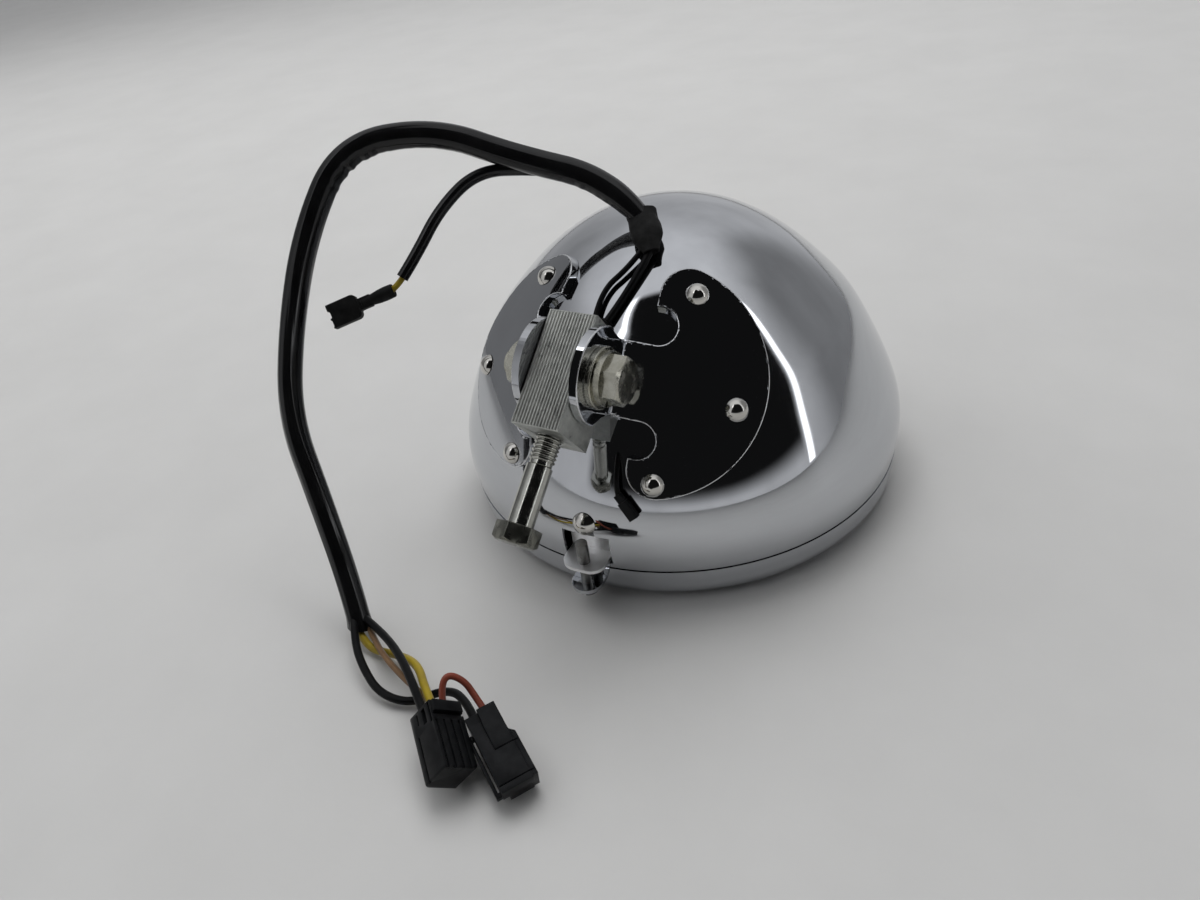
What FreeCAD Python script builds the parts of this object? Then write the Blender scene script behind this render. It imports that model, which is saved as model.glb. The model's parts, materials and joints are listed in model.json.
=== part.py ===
import FreeCAD, Part
import math
import os

# Motorcycle headlight with a chromed bowl, a two-plate bracket, a mount block and its wiring.
# Millimetres. The lamp stands on the front lip of its trim ring: +Z is the back of the lamp,
# -Y is the underside that carries the rim clamp and the mount block.

V = FreeCAD.Vector
ORIGIN = V(0, 0, 0)
AXIS_X = V(1, 0, 0)
AXIS_Z = V(0, 0, 1)

# Clearances
PART_GAP = 0.3
RUN_GAP = 0.05
SEAT_GAP = 0.15

# Trim ring radius, which the bowl, the optical unit, the bracket and the clamp follow
RING_R = 81.0

# Bowl: profile as shares of the ring radius, against height
SHEET = 1.0
SEAM_Z = 13.4
BOWL_SHARES = [
    (0.99877, SEAM_Z),
    (1.00864, 22.0),
    (0.99506, 31.0),
    (0.95556, 40.3),
    (0.87901, 53.9),
    (0.78519, 67.2),
    (0.71111, 74.4),
    (0.62963, 81.3),
    (0.54321, 87.7),
    (0.44198, 93.6),
    (0.33333, 98.4),
    (0.20370, 102.2),
    (0.0, 104.5),
]
BOWL_PROFILE = [(share * RING_R, z) for share, z in BOWL_SHARES]
JOGGLE = 1.5
SKIRT_LOW_Z = 9.8

# Trim ring
RING_TAPER = 0.4
RING_BAND_R = RING_R - RING_TAPER
RING_BAND_Z = 7.5
RING_TOP_Z = SEAM_Z - 0.4
RING_ROLL = 5.5
RING_FLAT_R = RING_R - RING_ROLL
RING_FACE = 4.1
RING_LIP_R = RING_FLAT_R - RING_FACE
RING_WALL = 1.0

# Optical unit
LENS_SINK = 6.5
LENS_R = RING_R - LENS_SINK
LENS_EDGE_Z = 3.1
LENS_THICK = 4.1
LENS_BULGE = 2.2
GASKET_IN_R = RING_LIP_R + 0.4
GASKET_OUT_R = LENS_R + 0.5
REFLECTOR_SHEET = 0.8
REFLECTOR_BACK_Z = 60.0
REFLECTOR_EDGE_R = RING_LIP_R - 0.4
REFLECTOR_EDGE_Z = LENS_EDGE_Z + LENS_THICK + 0.72
FOCUS = REFLECTOR_EDGE_R ** 2 / (4 * (REFLECTOR_BACK_Z - REFLECTOR_EDGE_Z))
REFLECTOR_FLANGE_R = LENS_R + 0.7
BULB_HOLE_R = 20.0
BULB_SEAT_Z = 61.0
BULB_SEAT_R = 18.5
CLIP_COUNT = 4

# Bulb, boot and plug
BULB_FLANGE_R = 19.8
BULB_FLANGE_H = 1.2
BULB_BASE_R = 11.0
BULB_BASE_TOP_Z = 76.0
CAPSULE_R = 8.5
CAPSULE_TIP_Z = 24.0
BLADE_W = 7.8
BLADE_T = 0.8
BLADE_OUT = 5.0
BLADE_TOP_Z = 85.0
SOCKET_W = 24.0
SOCKET_LOW_Z = 77.0
SOCKET_TOP_Z = 91.0

# Mount block and its bolt, in a frame at the pivot: u runs down the block, n out of its ridged face
PIVOT_DROP = 10.0
PIVOT = V(0, PIVOT_DROP - RING_R, 81.4)
BLOCK_SLOPE = 36.1
BLOCK_HALF_W = 8.0
BLOCK_UP = 16.0
BLOCK_DOWN = 20.0
BLOCK_OUT = 7.5
BLOCK_IN = 12.5
BLOCK_ROUND = 11.0
BLOCK_EDGE = 0.5
BOLT_R = 4.0
BOLT_N = -3.0
BOLT_HOLE_U = 6.5
BOLT_TIP_U = 7.0
BOLT_THREAD_U = 29.0
BOLT_HEAD_U = 47.0
BOLT_HEAD_H = 5.5
BOLT_HEAD_AF = 12.0
THREAD_PITCH = 1.25
THREAD_DEPTH = 0.55

# Bracket plates
PLATE = 2.6
EAR_IN_X = BLOCK_HALF_W + PART_GAP
EAR_OUT_X = EAR_IN_X + PLATE
EAR_HEAD_R = 14.8
EAR_NECK_HALF = 11.6
EAR_SIDE_HALF = 10.6
FOLD_DROP = 26.7
FOLD_MID = V(0, FOLD_DROP - RING_R, 70.85)
FOLD_SLOPE = 51.8
EAR_HEAD_P = 1.6
EAR_HEAD_Q = 17.8
FLANGE_DROP = 29.0
FLANGE_MID = V(30, FLANGE_DROP - RING_R, 72)
FLANGE_NORMAL = V(0.381, -0.783, 0.492)
FLANGE_R = 36.5
FLANGE_CENTRE = (-12.0, 2.0)
LOBE_A = -13.5
LOBE_ROUND = 9.0
NOTCH_R = 5.8
NOTCH_A = -11.8
NOTCH_UP_B = FLANGE_CENTRE[1] - 0.4493 * FLANGE_R
NOTCH_LOW_B = FLANGE_CENTRE[1] + 0.5041 * FLANGE_R
BEND_R = 2.2

# Rivets
RIVET_HEAD_R = 3.6
RIVET_HEAD_H = 2.4
RIVET_SHANK_R = 2.0
RIVET_SHARES = [(0.2658, -0.7342), (0.7479, 0.1068), (0.211, 0.8384)]
RIVET_SPOTS = [(FLANGE_CENTRE[0] + a * FLANGE_R, FLANGE_CENTRE[1] + b * FLANGE_R) for a, b in RIVET_SHARES]

# Pivot hardware
PIVOT_R = 4.0
PIVOT_AF = 13.0
PIVOT_HEAD_H = 5.3
PIVOT_NUT_H = 6.5
PIVOT_TAIL = 2.0
WASHER_R = 9.3
WASHER_T = 2.0
LOCK_R = 8.2
LOCK_T = 2.2
LOCK_SPLIT = 1.2

# Rim clamp, built on the centre plane and then turned a little about the lamp axis
CLAMP_TURN = 2.3
TAB_W = 15.0
TAB_T = 1.2
TAB_Z = 16.4
TAB_REACH = 7.4
TAB_FRONT_R = RING_R + TAB_REACH
TAB_INSET = 4.6
TAB_LEG_Y = TAB_INSET - RING_R
TAB_LEG_TOP_Z = 34.0
TAB_CORNER = 5.0
WINDOW_W = 17.0
WINDOW_LOW_Z = 15.4
WINDOW_TOP_Z = 26.6
CLAMP_STAND = 3.3
CLAMP_SCREW_R = RING_R + CLAMP_STAND
CLAMP_SCREW_D = 4.0
CLAMP_SCREW_LEN = 18.0
CLAMP_HEAD_R = 3.5
CLAMP_HEAD_H = 2.4
CLAMP_SLOT_W = 1.0
CLAMP_RIVET_Z = 30.5
CLAMP_RIVET_R = 4.0
LUG_R = 5.3
LUG_T = 1.4
LUG_Z = 7.6

# Wire entry
GROMMET_DROP = 31.5
GROMMET_Y = GROMMET_DROP - RING_R
GROMMET_R = 4.6
GROMMET_HOLE_R = 3.4
GROMMET_LIP = 1.2
GROMMET_BORE_R = 2.8

# Wiring: diameters and the corners of each route
LOOM_D = 8.0
BRANCH_D = 4.0
LEAD_A_D = 2.4
LEAD_B_D = 1.8
WIRE_D = 2.6
THIN_WIRE_D = 2.0
PILOT_D = 1.6

LOOM = [
    (1.5, -17.0, 106.2),
    (-12.0, -12.5, 116.5),
    (-39.5, -20.8, 125.0),
    (-66.0, -27.0, 135.5),
    (-92.0, -43.5, 134.5),
    (-98.5, -64.0, 112.5),
    (-97.5, -82.5, 89.0),
    (-93.0, -99.5, 65.0),
    (-79.5, -110.0, 41.0),
    (-67.0, -120.5, 17.0),
    (-61.0, -127.0, 4.4),
]
BRANCH = [
    (-27.0, -15.8, 119.8),
    (-37.0, -18.6, 121.0),
    (-52.5, -26.4, 122.3),
    (-61.5, -38.5, 113.5),
    (-66.0, -50.0, 102.0),
    (-69.0, -56.0, 96.4),
]
BRANCH_WIRE = [(-68.4, -54.8, 97.5), (-69.6, -57.6, 94.7), (-72.0, -60.3, 93.0)]
LEAD_A = [(8.8, -26.6, 101.4), (7.8, -37.2, 94.8), (2.4, -48.6, 86.3)]
LEAD_B = [(6.3, -26.6, 101.4), (5.3, -33.4, 97.2), (0.6, -41.8, 91.6), (-2.0, -47.8, 86.6)]
INNER_END_Y = 0.6 - SOCKET_W / 2
INNER_A = [
    (1.3, GROMMET_Y + 2.9, 80.6),
    (2.2, GROMMET_Y + 11.5, 72.5),
    (9.0, -26.0, 78.0),
    (10.5, INNER_END_Y, 84.0),
]
INNER_B = [(-x, y, z) for x, y, z in INNER_A]
WIRE_BLACK = [
    (-60.4, -125.3, 7.6),
    (-50.8, -127.9, 8.0),
    (-35.1, -135.5, 11.2),
    (-20.7, -145.5, 13.0),
    (-11.6, -152.4, 13.0),
]
WIRE_YELLOW = [
    (-64.0, -126.1, 6.3),
    (-55.8, -132.6, 1.8),
    (-42.0, -131.2, 3.2),
    (-29.5, -134.6, 8.2),
    (-19.0, -143.6, 10.8),
    (-9.6, -150.0, 11.6),
]
WIRE_BROWN = [
    (-62.4, -123.2, 5.1),
    (-51.0, -131.2, 4.5),
    (-36.7, -138.4, 7.4),
    (-20.6, -143.6, 7.6),
    (-9.6, -147.2, 9.6),
]
WIRE_LOOP = [
    (-61.7, -127.9, 8.4),
    (-56.0, -134.8, 6.6),
    (-48.0, -140.8, 5.2),
    (-37.6, -146.0, 3.4),
    (-26.6, -144.6, 2.2),
    (-19.6, -137.0, 3.4),
    (-9.6, -138.2, 7.0),
    (1.1, -146.4, 9.6),
]
WIRE_RED = [
    (-8.4, -148.0, 12.8),
    (-10.8, -144.8, 16.8),
    (-10.8, -140.8, 19.6),
    (-6.4, -139.2, 16.8),
    (-2.6, -140.4, 12.6),
    (3.2, -143.2, 10.2),
]
# The pilot lead leaves the bowl below the plate's edge, where the bowl widens by half its drop
PILOT_Z = 89.9 - FLANGE_R
PILOT_Y = PILOT_Z / 2 - 15.1 - RING_R
PILOT = [
    (13.0, PILOT_Y, PILOT_Z),
    (14.2, PILOT_Y - 4.8, PILOT_Z - 3.2),
    (14.6, PILOT_Y - 7.0, PILOT_Z - 8.0),
    (15.4, PILOT_Y - 7.8, PILOT_Z - 11.0),
]

# Sleeve, terminal and connectors
SLEEVE_LOW = V(8.8, -27.5, 101.4)
SLEEVE_TOP = V(0.9, -16.1, 106.9)
SLEEVE_PROFILE = [(2.9, 0.0), (4.7, 0.25), (5.5, 0.5), (5.3, 0.75), (4.6, 1.0)]
SLEEVE_FLAT = 0.58
TERMINAL_START = V(-70.9, -59.3, 93.4)
TERMINAL_END = V(-88.2, -73.6, 88.2)
TERMINAL_WIDE = V(0.531, -0.336, -0.777)
TERMINAL_BARREL_R = 2.3
TERMINAL_FLAG_W = 8.2
TERMINAL_FLAG_T = 3.4
TERMINAL_FLAG_LEN = 10.5
RIBBED_START = V(-11.4, -149.2, 12.0)
RIBBED_END = V(3.6, -162.9, 8.3)
RIBBED_SIDE = 10.8
RIBBED_ROLL = 45.0
RIB_COUNT = 4
RIB_GROOVE = 0.7
SLIM_START = V(0.6, -143.7, 10.2)
SLIM_END = V(21.6, -157.3, 5.4)
SLIM_W = 9.4
SLIM_H = 7.6
SLIM_STEP = 1.6
PLUG_START = V(15.1, PILOT_Y - 7.6, PILOT_Z - 10.2)
PLUG_END = V(21.0, PILOT_Y - 9.0, PILOT_Z - 17.0)
PLUG_W = 3.4
PLUG_T = 2.6


def edge_line(a, b):
    """Straight edge between two points."""
    return Part.LineSegment(a, b).toShape()


def edge_arc(a, b, c):
    """Arc edge from a through b to c."""
    return Part.Arc(a, b, c).toShape()


def rz(r, z):
    """Point in the turning plane."""
    return V(r, 0, z)


def turned(edges):
    """Solid of revolution about the lamp axis from edges that close in the XZ plane."""
    face = Part.Face(Part.Wire(edges))
    return face.revolve(ORIGIN, AXIS_Z, 360)


def turned_polygon(points):
    """Solid of revolution from corner points given as (radius, height)."""
    corners = [rz(r, z) for r, z in points]
    corners.append(corners[0])
    return turned([edge_line(a, b) for a, b in zip(corners, corners[1:])])


def bowl_curve(offset):
    """Bowl generatrix moved outward by offset along its own normal."""
    base = Part.BSplineCurve()
    points = [rz(r, z) for r, z in BOWL_PROFILE]
    base.interpolate(Points=points, InitialTangent=V(0.1, 0, 1), FinalTangent=V(-1, 0, 0), Scale=False)
    if offset == 0:
        return base
    moved = []
    for point in points:
        way = base.tangent(base.parameter(point))[0]
        moved.append(V(point.x + way.z * offset, 0, point.z - way.x * offset))
    moved[-1] = rz(0, points[-1].z + offset)
    curve = Part.BSplineCurve()
    curve.interpolate(Points=moved, InitialTangent=V(0.1, 0, 1), FinalTangent=V(-1, 0, 0), Scale=False)
    return curve


def bowl_solid(offset):
    """Everything inside the bowl surface grown by offset."""
    curve = bowl_curve(offset)
    low = curve.StartPoint
    top = curve.EndPoint
    foot = rz(0, low.z)
    return turned([curve.toShape(), edge_line(top, foot), edge_line(foot, low)])


def bowl_normal(x, y):
    """Surface point and outward normal of the bowl above a plan position."""
    radius = math.hypot(x, y)
    curve = bowl_curve(0)
    low = curve.FirstParameter
    high = curve.LastParameter
    for _ in range(50):
        middle = (low + high) / 2
        if curve.value(middle).x > radius or curve.value(middle).z < 30:
            low = middle
        else:
            high = middle
    spot = curve.value(low)
    way = curve.tangent(low)[0]
    cosine = x / radius
    sine = y / radius
    point = V(spot.x * cosine, spot.x * sine, spot.z)
    return point, V(way.z * cosine, way.z * sine, -way.x)


def bowl_side(z):
    """Surface point and outward normal of the bowl at a height, on the clamp side."""
    curve = bowl_curve(0)
    low = curve.FirstParameter
    high = curve.LastParameter
    for _ in range(50):
        middle = (low + high) / 2
        if curve.value(middle).z < z:
            low = middle
        else:
            high = middle
    spot = curve.value(low)
    way = curve.tangent(low)[0]
    return V(0, -spot.x, spot.z), V(0, -way.z, -way.x)


def placed(shape, origin, direction):
    """Copy of a shape modelled along +Z, put at origin pointing along direction."""
    copy = shape.copy()
    copy.Placement = FreeCAD.Placement(origin, FreeCAD.Rotation(AXIS_Z, direction))
    return copy


def framed(shape, origin, along, side):
    """Copy of a shape modelled with its length on +Z and its width on +X, put in a given frame."""
    z_way = V(along)
    z_way.normalize()
    x_way = side - z_way * side.dot(z_way)
    x_way.normalize()
    y_way = z_way.cross(x_way)
    copy = shape.copy()
    copy.Placement = FreeCAD.Placement(origin, FreeCAD.Rotation(x_way, y_way, z_way, "ZXY"))
    return copy


def hex_bar(across, height):
    """Hexagonal bar on +Z with its outer corners rounded off."""
    corner = across / math.sqrt(3)
    points = []
    for index in range(7):
        angle = math.radians(60 * index)
        points.append(V(corner * math.cos(angle), corner * math.sin(angle), 0))
    bar = Part.Face(Part.makePolygon(points)).extrude(V(0, 0, height))
    drop = (corner - across / 2) * 1.1
    trim = turned_polygon([
        (0, 0),
        (corner + 1, 0),
        (corner + 1, height - drop - 0.58),
        (across / 2 - 0.3, height),
        (0, height),
    ])
    return bar.common(trim)


def box_on(length, width, height):
    """Box with its length on +Z, centred on the other two axes."""
    return Part.makeBox(width, height, length, V(-width / 2, -height / 2, 0))


def edges_along(shape, direction):
    """Straight edges of a shape that run along a direction."""
    found = []
    for edge in shape.Edges:
        if len(edge.Vertexes) == 2:
            way = edge.Vertexes[1].Point - edge.Vertexes[0].Point
            if way.Length > 1e-6 and abs(way.normalize().dot(direction)) > 0.999:
                found.append(edge)
    return found


def cord(name, points, diameter):
    """Round cord along straight runs joined by tangent arcs."""
    corners = [V(*p) for p in points]
    edges = []
    start = corners[0]
    radii = []
    for before, corner, after in zip(corners, corners[1:], corners[2:]):
        way_in = before - corner
        way_out = after - corner
        reach = 0.45 * min(way_in.Length, way_out.Length)
        half_turn = (math.pi - way_in.getAngle(way_out)) / 2
        radius = reach / math.tan(half_turn)
        radii.append(round(radius, 1))
        way_in.normalize()
        way_out.normalize()
        first = corner + way_in * reach
        last = corner + way_out * reach
        inward = way_in + way_out
        inward.normalize()
        centre = corner + inward * (radius / math.cos(half_turn))
        middle = centre - inward * radius
        edges.append(edge_line(start, first))
        edges.append(edge_arc(first, middle, last))
        start = last
    edges.append(edge_line(start, corners[-1]))
    path = Part.Wire(edges)
    heading = (corners[1] - corners[0]).normalize()
    section = Part.Wire([Part.Circle(corners[0], heading, diameter / 2).toShape()])
    tube = path.makePipeShell([section], True, False)
    ideal = math.pi * diameter ** 2 / 4 * path.Length
    share = round(tube.Volume / ideal, 4)
    print(name, "length", round(path.Length, 1), "radii", radii, "volume ratio", share)
    return tube


def keep(name, shape):
    """Write one node."""
    if not shape.isValid():
        print("not valid:", name)
    shape.exportStep("parts/" + name + ".step")
    print(name, "solids", len(shape.Solids), "volume", round(shape.Volume, 1))


def block_point(u, n, x=0.0):
    """Point in the mount block's own frame."""
    slope = math.radians(BLOCK_SLOPE)
    y = PIVOT.y - u * math.cos(slope) - n * math.sin(slope)
    z = PIVOT.z - u * math.sin(slope) + n * math.cos(slope)
    return V(x, y, z)


def block_way():
    """Direction down the mount block."""
    return (block_point(1, 0) - block_point(0, 0)).normalize()


def ear_point(p, q):
    """Point in the ear's plane: p along the fold, q away from it."""
    slope = math.radians(FOLD_SLOPE)
    y = FOLD_MID.y - p * math.cos(slope) - q * math.sin(slope)
    z = FOLD_MID.z - p * math.sin(slope) + q * math.cos(slope)
    return V(EAR_IN_X, y, z)


def flange_frame():
    """Three unit directions of the flange: across, down and out."""
    out = V(FLANGE_NORMAL).normalize()
    slope = math.radians(FOLD_SLOPE)
    down = V(0, -math.cos(slope), -math.sin(slope))
    down = (down - out * down.dot(out)).normalize()
    return out.cross(down), down, out


def flange_point(a, b, h=0.0):
    """Point in the flange's own frame."""
    across, down, out = flange_frame()
    return FLANGE_MID + across * a + down * b + out * h


def flange_prism():
    """D-shaped outline with a neck and two relief notches, as a bar through the bowl wall."""
    out = flange_frame()[2]
    depth = 60.0
    base = -depth / 2
    centre = flange_point(FLANGE_CENTRE[0], FLANGE_CENTRE[1], base)
    disc = Part.makeCylinder(FLANGE_R, depth, centre, out)
    side = 2.5 * FLANGE_R

    def slab(a0, a1, b0, b1):
        corners = [flange_point(a0, b0, base), flange_point(a1, b0, base)]
        corners += [flange_point(a1, b1, base), flange_point(a0, b1, base)]
        corners.append(corners[0])
        return Part.Face(Part.makePolygon(corners)).extrude(out * depth)

    plate = disc.common(slab(LOBE_A, LOBE_A + side, -side, side))
    plate = plate.makeFillet(LOBE_ROUND, edges_along(plate, out))
    neck_up = NOTCH_UP_B + NOTCH_R
    neck_low = NOTCH_LOW_B - NOTCH_R
    plate = plate.fuse(slab(LOBE_A - 16, LOBE_A + 8, neck_up, neck_low)).removeSplitter()
    for b in (NOTCH_UP_B, NOTCH_LOW_B):
        plate = plate.cut(Part.makeCylinder(NOTCH_R, depth, flange_point(NOTCH_A, b, base), out))
        plate = plate.cut(slab(LOBE_A - 16, NOTCH_A, b - NOTCH_R, b + NOTCH_R))
    return plate


def ear_plate():
    """Flat ear: round head, pointed shoulders, waisted neck running into the bowl."""
    top = ear_point(EAR_HEAD_P - EAR_HEAD_R, EAR_HEAD_Q)
    tip = ear_point(EAR_HEAD_P, EAR_HEAD_Q + EAR_HEAD_R)
    bottom = ear_point(EAR_HEAD_P + EAR_HEAD_R, EAR_HEAD_Q)
    waist_q = EAR_HEAD_Q / 2
    low_right = ear_point(EAR_NECK_HALF, 0)
    low_left = ear_point(-EAR_NECK_HALF, 0)
    root = -12
    edges = [
        edge_arc(top, tip, bottom),
        edge_arc(bottom, ear_point(EAR_SIDE_HALF + EAR_HEAD_P, waist_q), low_right),
        edge_line(low_right, ear_point(EAR_NECK_HALF, root)),
        edge_line(ear_point(EAR_NECK_HALF, root), ear_point(-EAR_NECK_HALF, root)),
        edge_line(ear_point(-EAR_NECK_HALF, root), low_left),
        edge_arc(low_left, ear_point(-EAR_SIDE_HALF, waist_q), top),
    ]
    return Part.Face(Part.Wire(edges)).extrude(V(PLATE, 0, 0))


def rivet(head_r, head_h, shank_r, grip):
    """Domed rivet on +Z: underside of the head at zero, shank below it."""
    ball = (head_r ** 2 + head_h ** 2) / (2 * head_h)
    slant = math.sqrt(0.5)
    crown = rz(ball * slant * 0.8, head_h - ball + math.sqrt(ball ** 2 - (ball * slant * 0.8) ** 2))
    edges = [
        edge_arc(rz(head_r, 0), crown, rz(0, head_h)),
        edge_line(rz(0, head_h), rz(0, -grip)),
        edge_line(rz(0, -grip), rz(shank_r, -grip)),
        edge_line(rz(shank_r, -grip), rz(shank_r, 0)),
        edge_line(rz(shank_r, 0), rz(head_r, 0)),
    ]
    return turned(edges)


def rivet_seats():
    """Where the right-hand bracket rivets sit: point on the bowl and outward normal."""
    seats = []
    for a, b in RIVET_SPOTS:
        spot = flange_point(a, b)
        out = flange_frame()[2]
        for _ in range(30):
            point, normal = bowl_normal(spot.x, spot.y)
            spot = spot - out * (spot - point).dot(normal)
        seats.append((point, normal))
    return seats


def mirrored(shape):
    """Copy on the other side of the lamp's centre plane."""
    return shape.mirror(ORIGIN, AXIS_X)


def turned_clamp(shape):
    """Copy turned to where the rim clamp sits."""
    copy = shape.copy()
    copy.rotate(ORIGIN, AXIS_Z, CLAMP_TURN)
    return copy


def make_bracket():
    """Right-hand bracket: formed flange and bent-up ear in one piece."""
    skin = bowl_solid(SEAT_GAP + PLATE).cut(bowl_solid(SEAT_GAP))
    flange = skin.common(flange_prism())
    reach = 2 * RING_R
    inside = Part.makeBox(reach, 2 * reach, reach, V(EAR_IN_X - reach, -reach, 0))
    flange = flange.cut(inside)
    ear = ear_plate().cut(bowl_solid(SEAT_GAP))
    bracket = flange.fuse(ear).removeSplitter()
    bends = []
    for edge in bracket.Edges:
        box = edge.BoundBox
        flat = box.XMax - box.XMin < 0.01 and abs(box.XMin - EAR_OUT_X) < 0.01
        if flat and box.YMax - box.YMin > 8:
            middle = edge.valueAt((edge.FirstParameter + edge.LastParameter) / 2)
            if abs((middle - FOLD_MID).Length - EAR_OUT_X) < 6:
                bends.append(edge)
    try:
        rounded = bracket.makeFillet(BEND_R, bends)
        if rounded.isValid() and rounded.Volume > bracket.Volume:
            bracket = rounded
    except (Part.OCCError, ValueError):
        print("bend left square")
    bore = Part.makeCylinder(PIVOT_R + RUN_GAP, 60, V(-10, PIVOT.y, PIVOT.z), AXIS_X)
    bracket = bracket.cut(bore)
    for point, normal in rivet_seats():
        bracket = bracket.cut(Part.makeCylinder(RIVET_SHANK_R + RUN_GAP, 20, point - normal * 10, normal))
    return bracket


def make_shell():
    """Deep-drawn bowl with its joggled skirt, clamp window, wire hole and rivet holes."""
    outer = bowl_curve(0)
    inner = bowl_curve(-SHEET)
    low_out = outer.StartPoint
    low_in = inner.StartPoint
    skirt_out = low_out.x - JOGGLE
    skirt_in = skirt_out - SHEET
    step = SEAM_Z + SHEET
    shoulder = rz(low_in.x, low_in.z)
    bowl = bowl_solid(0).cut(turned([
        inner.toShape(),
        edge_line(inner.EndPoint, rz(0, shoulder.z - 1)),
        edge_line(rz(0, shoulder.z - 1), rz(shoulder.x, shoulder.z - 1)),
        edge_line(rz(shoulder.x, shoulder.z - 1), shoulder),
    ]))
    skirt = turned_polygon([
        (skirt_in, SKIRT_LOW_Z),
        (skirt_out, SKIRT_LOW_Z),
        (skirt_out, SEAM_Z),
        (low_out.x - SHEET / 2, SEAM_Z),
        (low_out.x - SHEET / 2, step),
        (skirt_in, step),
    ])
    shell = bowl.fuse(skirt).removeSplitter()
    depth = TAB_REACH + TAB_INSET
    corner = V(-WINDOW_W / 2, -TAB_FRONT_R, WINDOW_LOW_Z)
    window = Part.makeBox(WINDOW_W, depth, WINDOW_TOP_Z - WINDOW_LOW_Z, corner)
    window = window.makeFillet(1.0, edges_along(window, V(0, 1, 0)))
    point, normal = bowl_side(CLAMP_RIVET_Z)
    drill = Part.makeCylinder(RIVET_SHANK_R + RUN_GAP, 12, V(0, 0, -6))
    tools = [turned_clamp(window), turned_clamp(placed(drill, point, normal))]
    for point, normal in rivet_seats():
        hole = placed(drill, point, normal)
        tools += [hole, mirrored(hole)]
    point, normal = bowl_normal(0, GROMMET_Y)
    tools.append(Part.makeCylinder(GROMMET_HOLE_R, 12, point - normal * 6, normal))
    start = V(*PILOT[0])
    heading = V(*PILOT[1]) - start
    tools.append(Part.makeCylinder(PILOT_D / 2 + RUN_GAP, 8, start - heading * 0.3, heading))
    for tool in tools:
        shell = shell.cut(tool)
    return shell


def make_ring():
    """Trim ring: rolled front with a flat rest face, and the clamp lug standing out of its band."""
    wall = RING_WALL
    roll_r = RING_FLAT_R + 0.69 * RING_ROLL
    roll_z = 0.35 * RING_BAND_Z
    front_mid = rz(roll_r, roll_z)
    back_mid = rz(roll_r - 0.8 * wall, roll_z + 0.7 * wall)
    edges = [
        edge_line(rz(RING_R, RING_TOP_Z), rz(RING_BAND_R, RING_BAND_Z)),
        edge_arc(rz(RING_BAND_R, RING_BAND_Z), front_mid, rz(RING_FLAT_R, 0)),
        edge_line(rz(RING_FLAT_R, 0), rz(RING_LIP_R + 0.8, 0)),
        edge_arc(rz(RING_LIP_R + 0.8, 0), rz(RING_LIP_R + 0.23, 0.23), rz(RING_LIP_R, 0.8)),
        edge_line(rz(RING_LIP_R, 0.8), rz(RING_LIP_R, wall + 0.1)),
        edge_line(rz(RING_LIP_R, wall + 0.1), rz(RING_FLAT_R - 0.2, wall + 0.1)),
        edge_arc(rz(RING_FLAT_R - 0.2, wall + 0.1), back_mid, rz(RING_BAND_R - wall, RING_BAND_Z + 0.1)),
        edge_line(rz(RING_BAND_R - wall, RING_BAND_Z + 0.1), rz(RING_R - wall, RING_TOP_Z)),
        edge_line(rz(RING_R - wall, RING_TOP_Z), rz(RING_R, RING_TOP_Z)),
    ]
    ring = turned(edges)
    root_y = -(RING_BAND_R - wall / 2)
    lug = Part.makeBox(2 * LUG_R, CLAMP_SCREW_R + root_y, LUG_T, V(-LUG_R, -CLAMP_SCREW_R, LUG_Z))
    lug = lug.fuse(Part.makeCylinder(LUG_R, LUG_T, V(0, -CLAMP_SCREW_R, LUG_Z)))
    lug = lug.removeSplitter()
    hole = Part.makeCylinder(CLAMP_SCREW_D / 2 + RUN_GAP, 10, V(0, -CLAMP_SCREW_R, LUG_Z - 5))
    return ring.fuse(turned_clamp(lug)).cut(turned_clamp(hole)).removeSplitter()


def make_lens():
    """Pressed glass lens: slightly domed front, thick flat edge."""
    back = LENS_EDGE_Z + LENS_THICK
    flat = RING_LIP_R - 1.0
    ball = (flat ** 2 + LENS_BULGE ** 2) / (2 * LENS_BULGE)
    rise = ball - math.sqrt(ball ** 2 - flat ** 2 / 4)
    front_mid = LENS_EDGE_Z - LENS_BULGE
    back_mid = back - LENS_BULGE
    edges = [
        edge_line(rz(0, front_mid), rz(0, back_mid)),
        edge_arc(rz(0, back_mid), rz(flat / 2, back_mid + rise), rz(flat, back)),
        edge_line(rz(flat, back), rz(LENS_R, back)),
        edge_line(rz(LENS_R, back), rz(LENS_R, LENS_EDGE_Z)),
        edge_line(rz(LENS_R, LENS_EDGE_Z), rz(flat, LENS_EDGE_Z)),
        edge_arc(rz(flat, LENS_EDGE_Z), rz(flat / 2, front_mid + rise), rz(0, front_mid)),
    ]
    return turned(edges)


def reflector_z(r):
    """Height of the parabola at a radius."""
    return REFLECTOR_BACK_Z - r * r / (4 * FOCUS)


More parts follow.
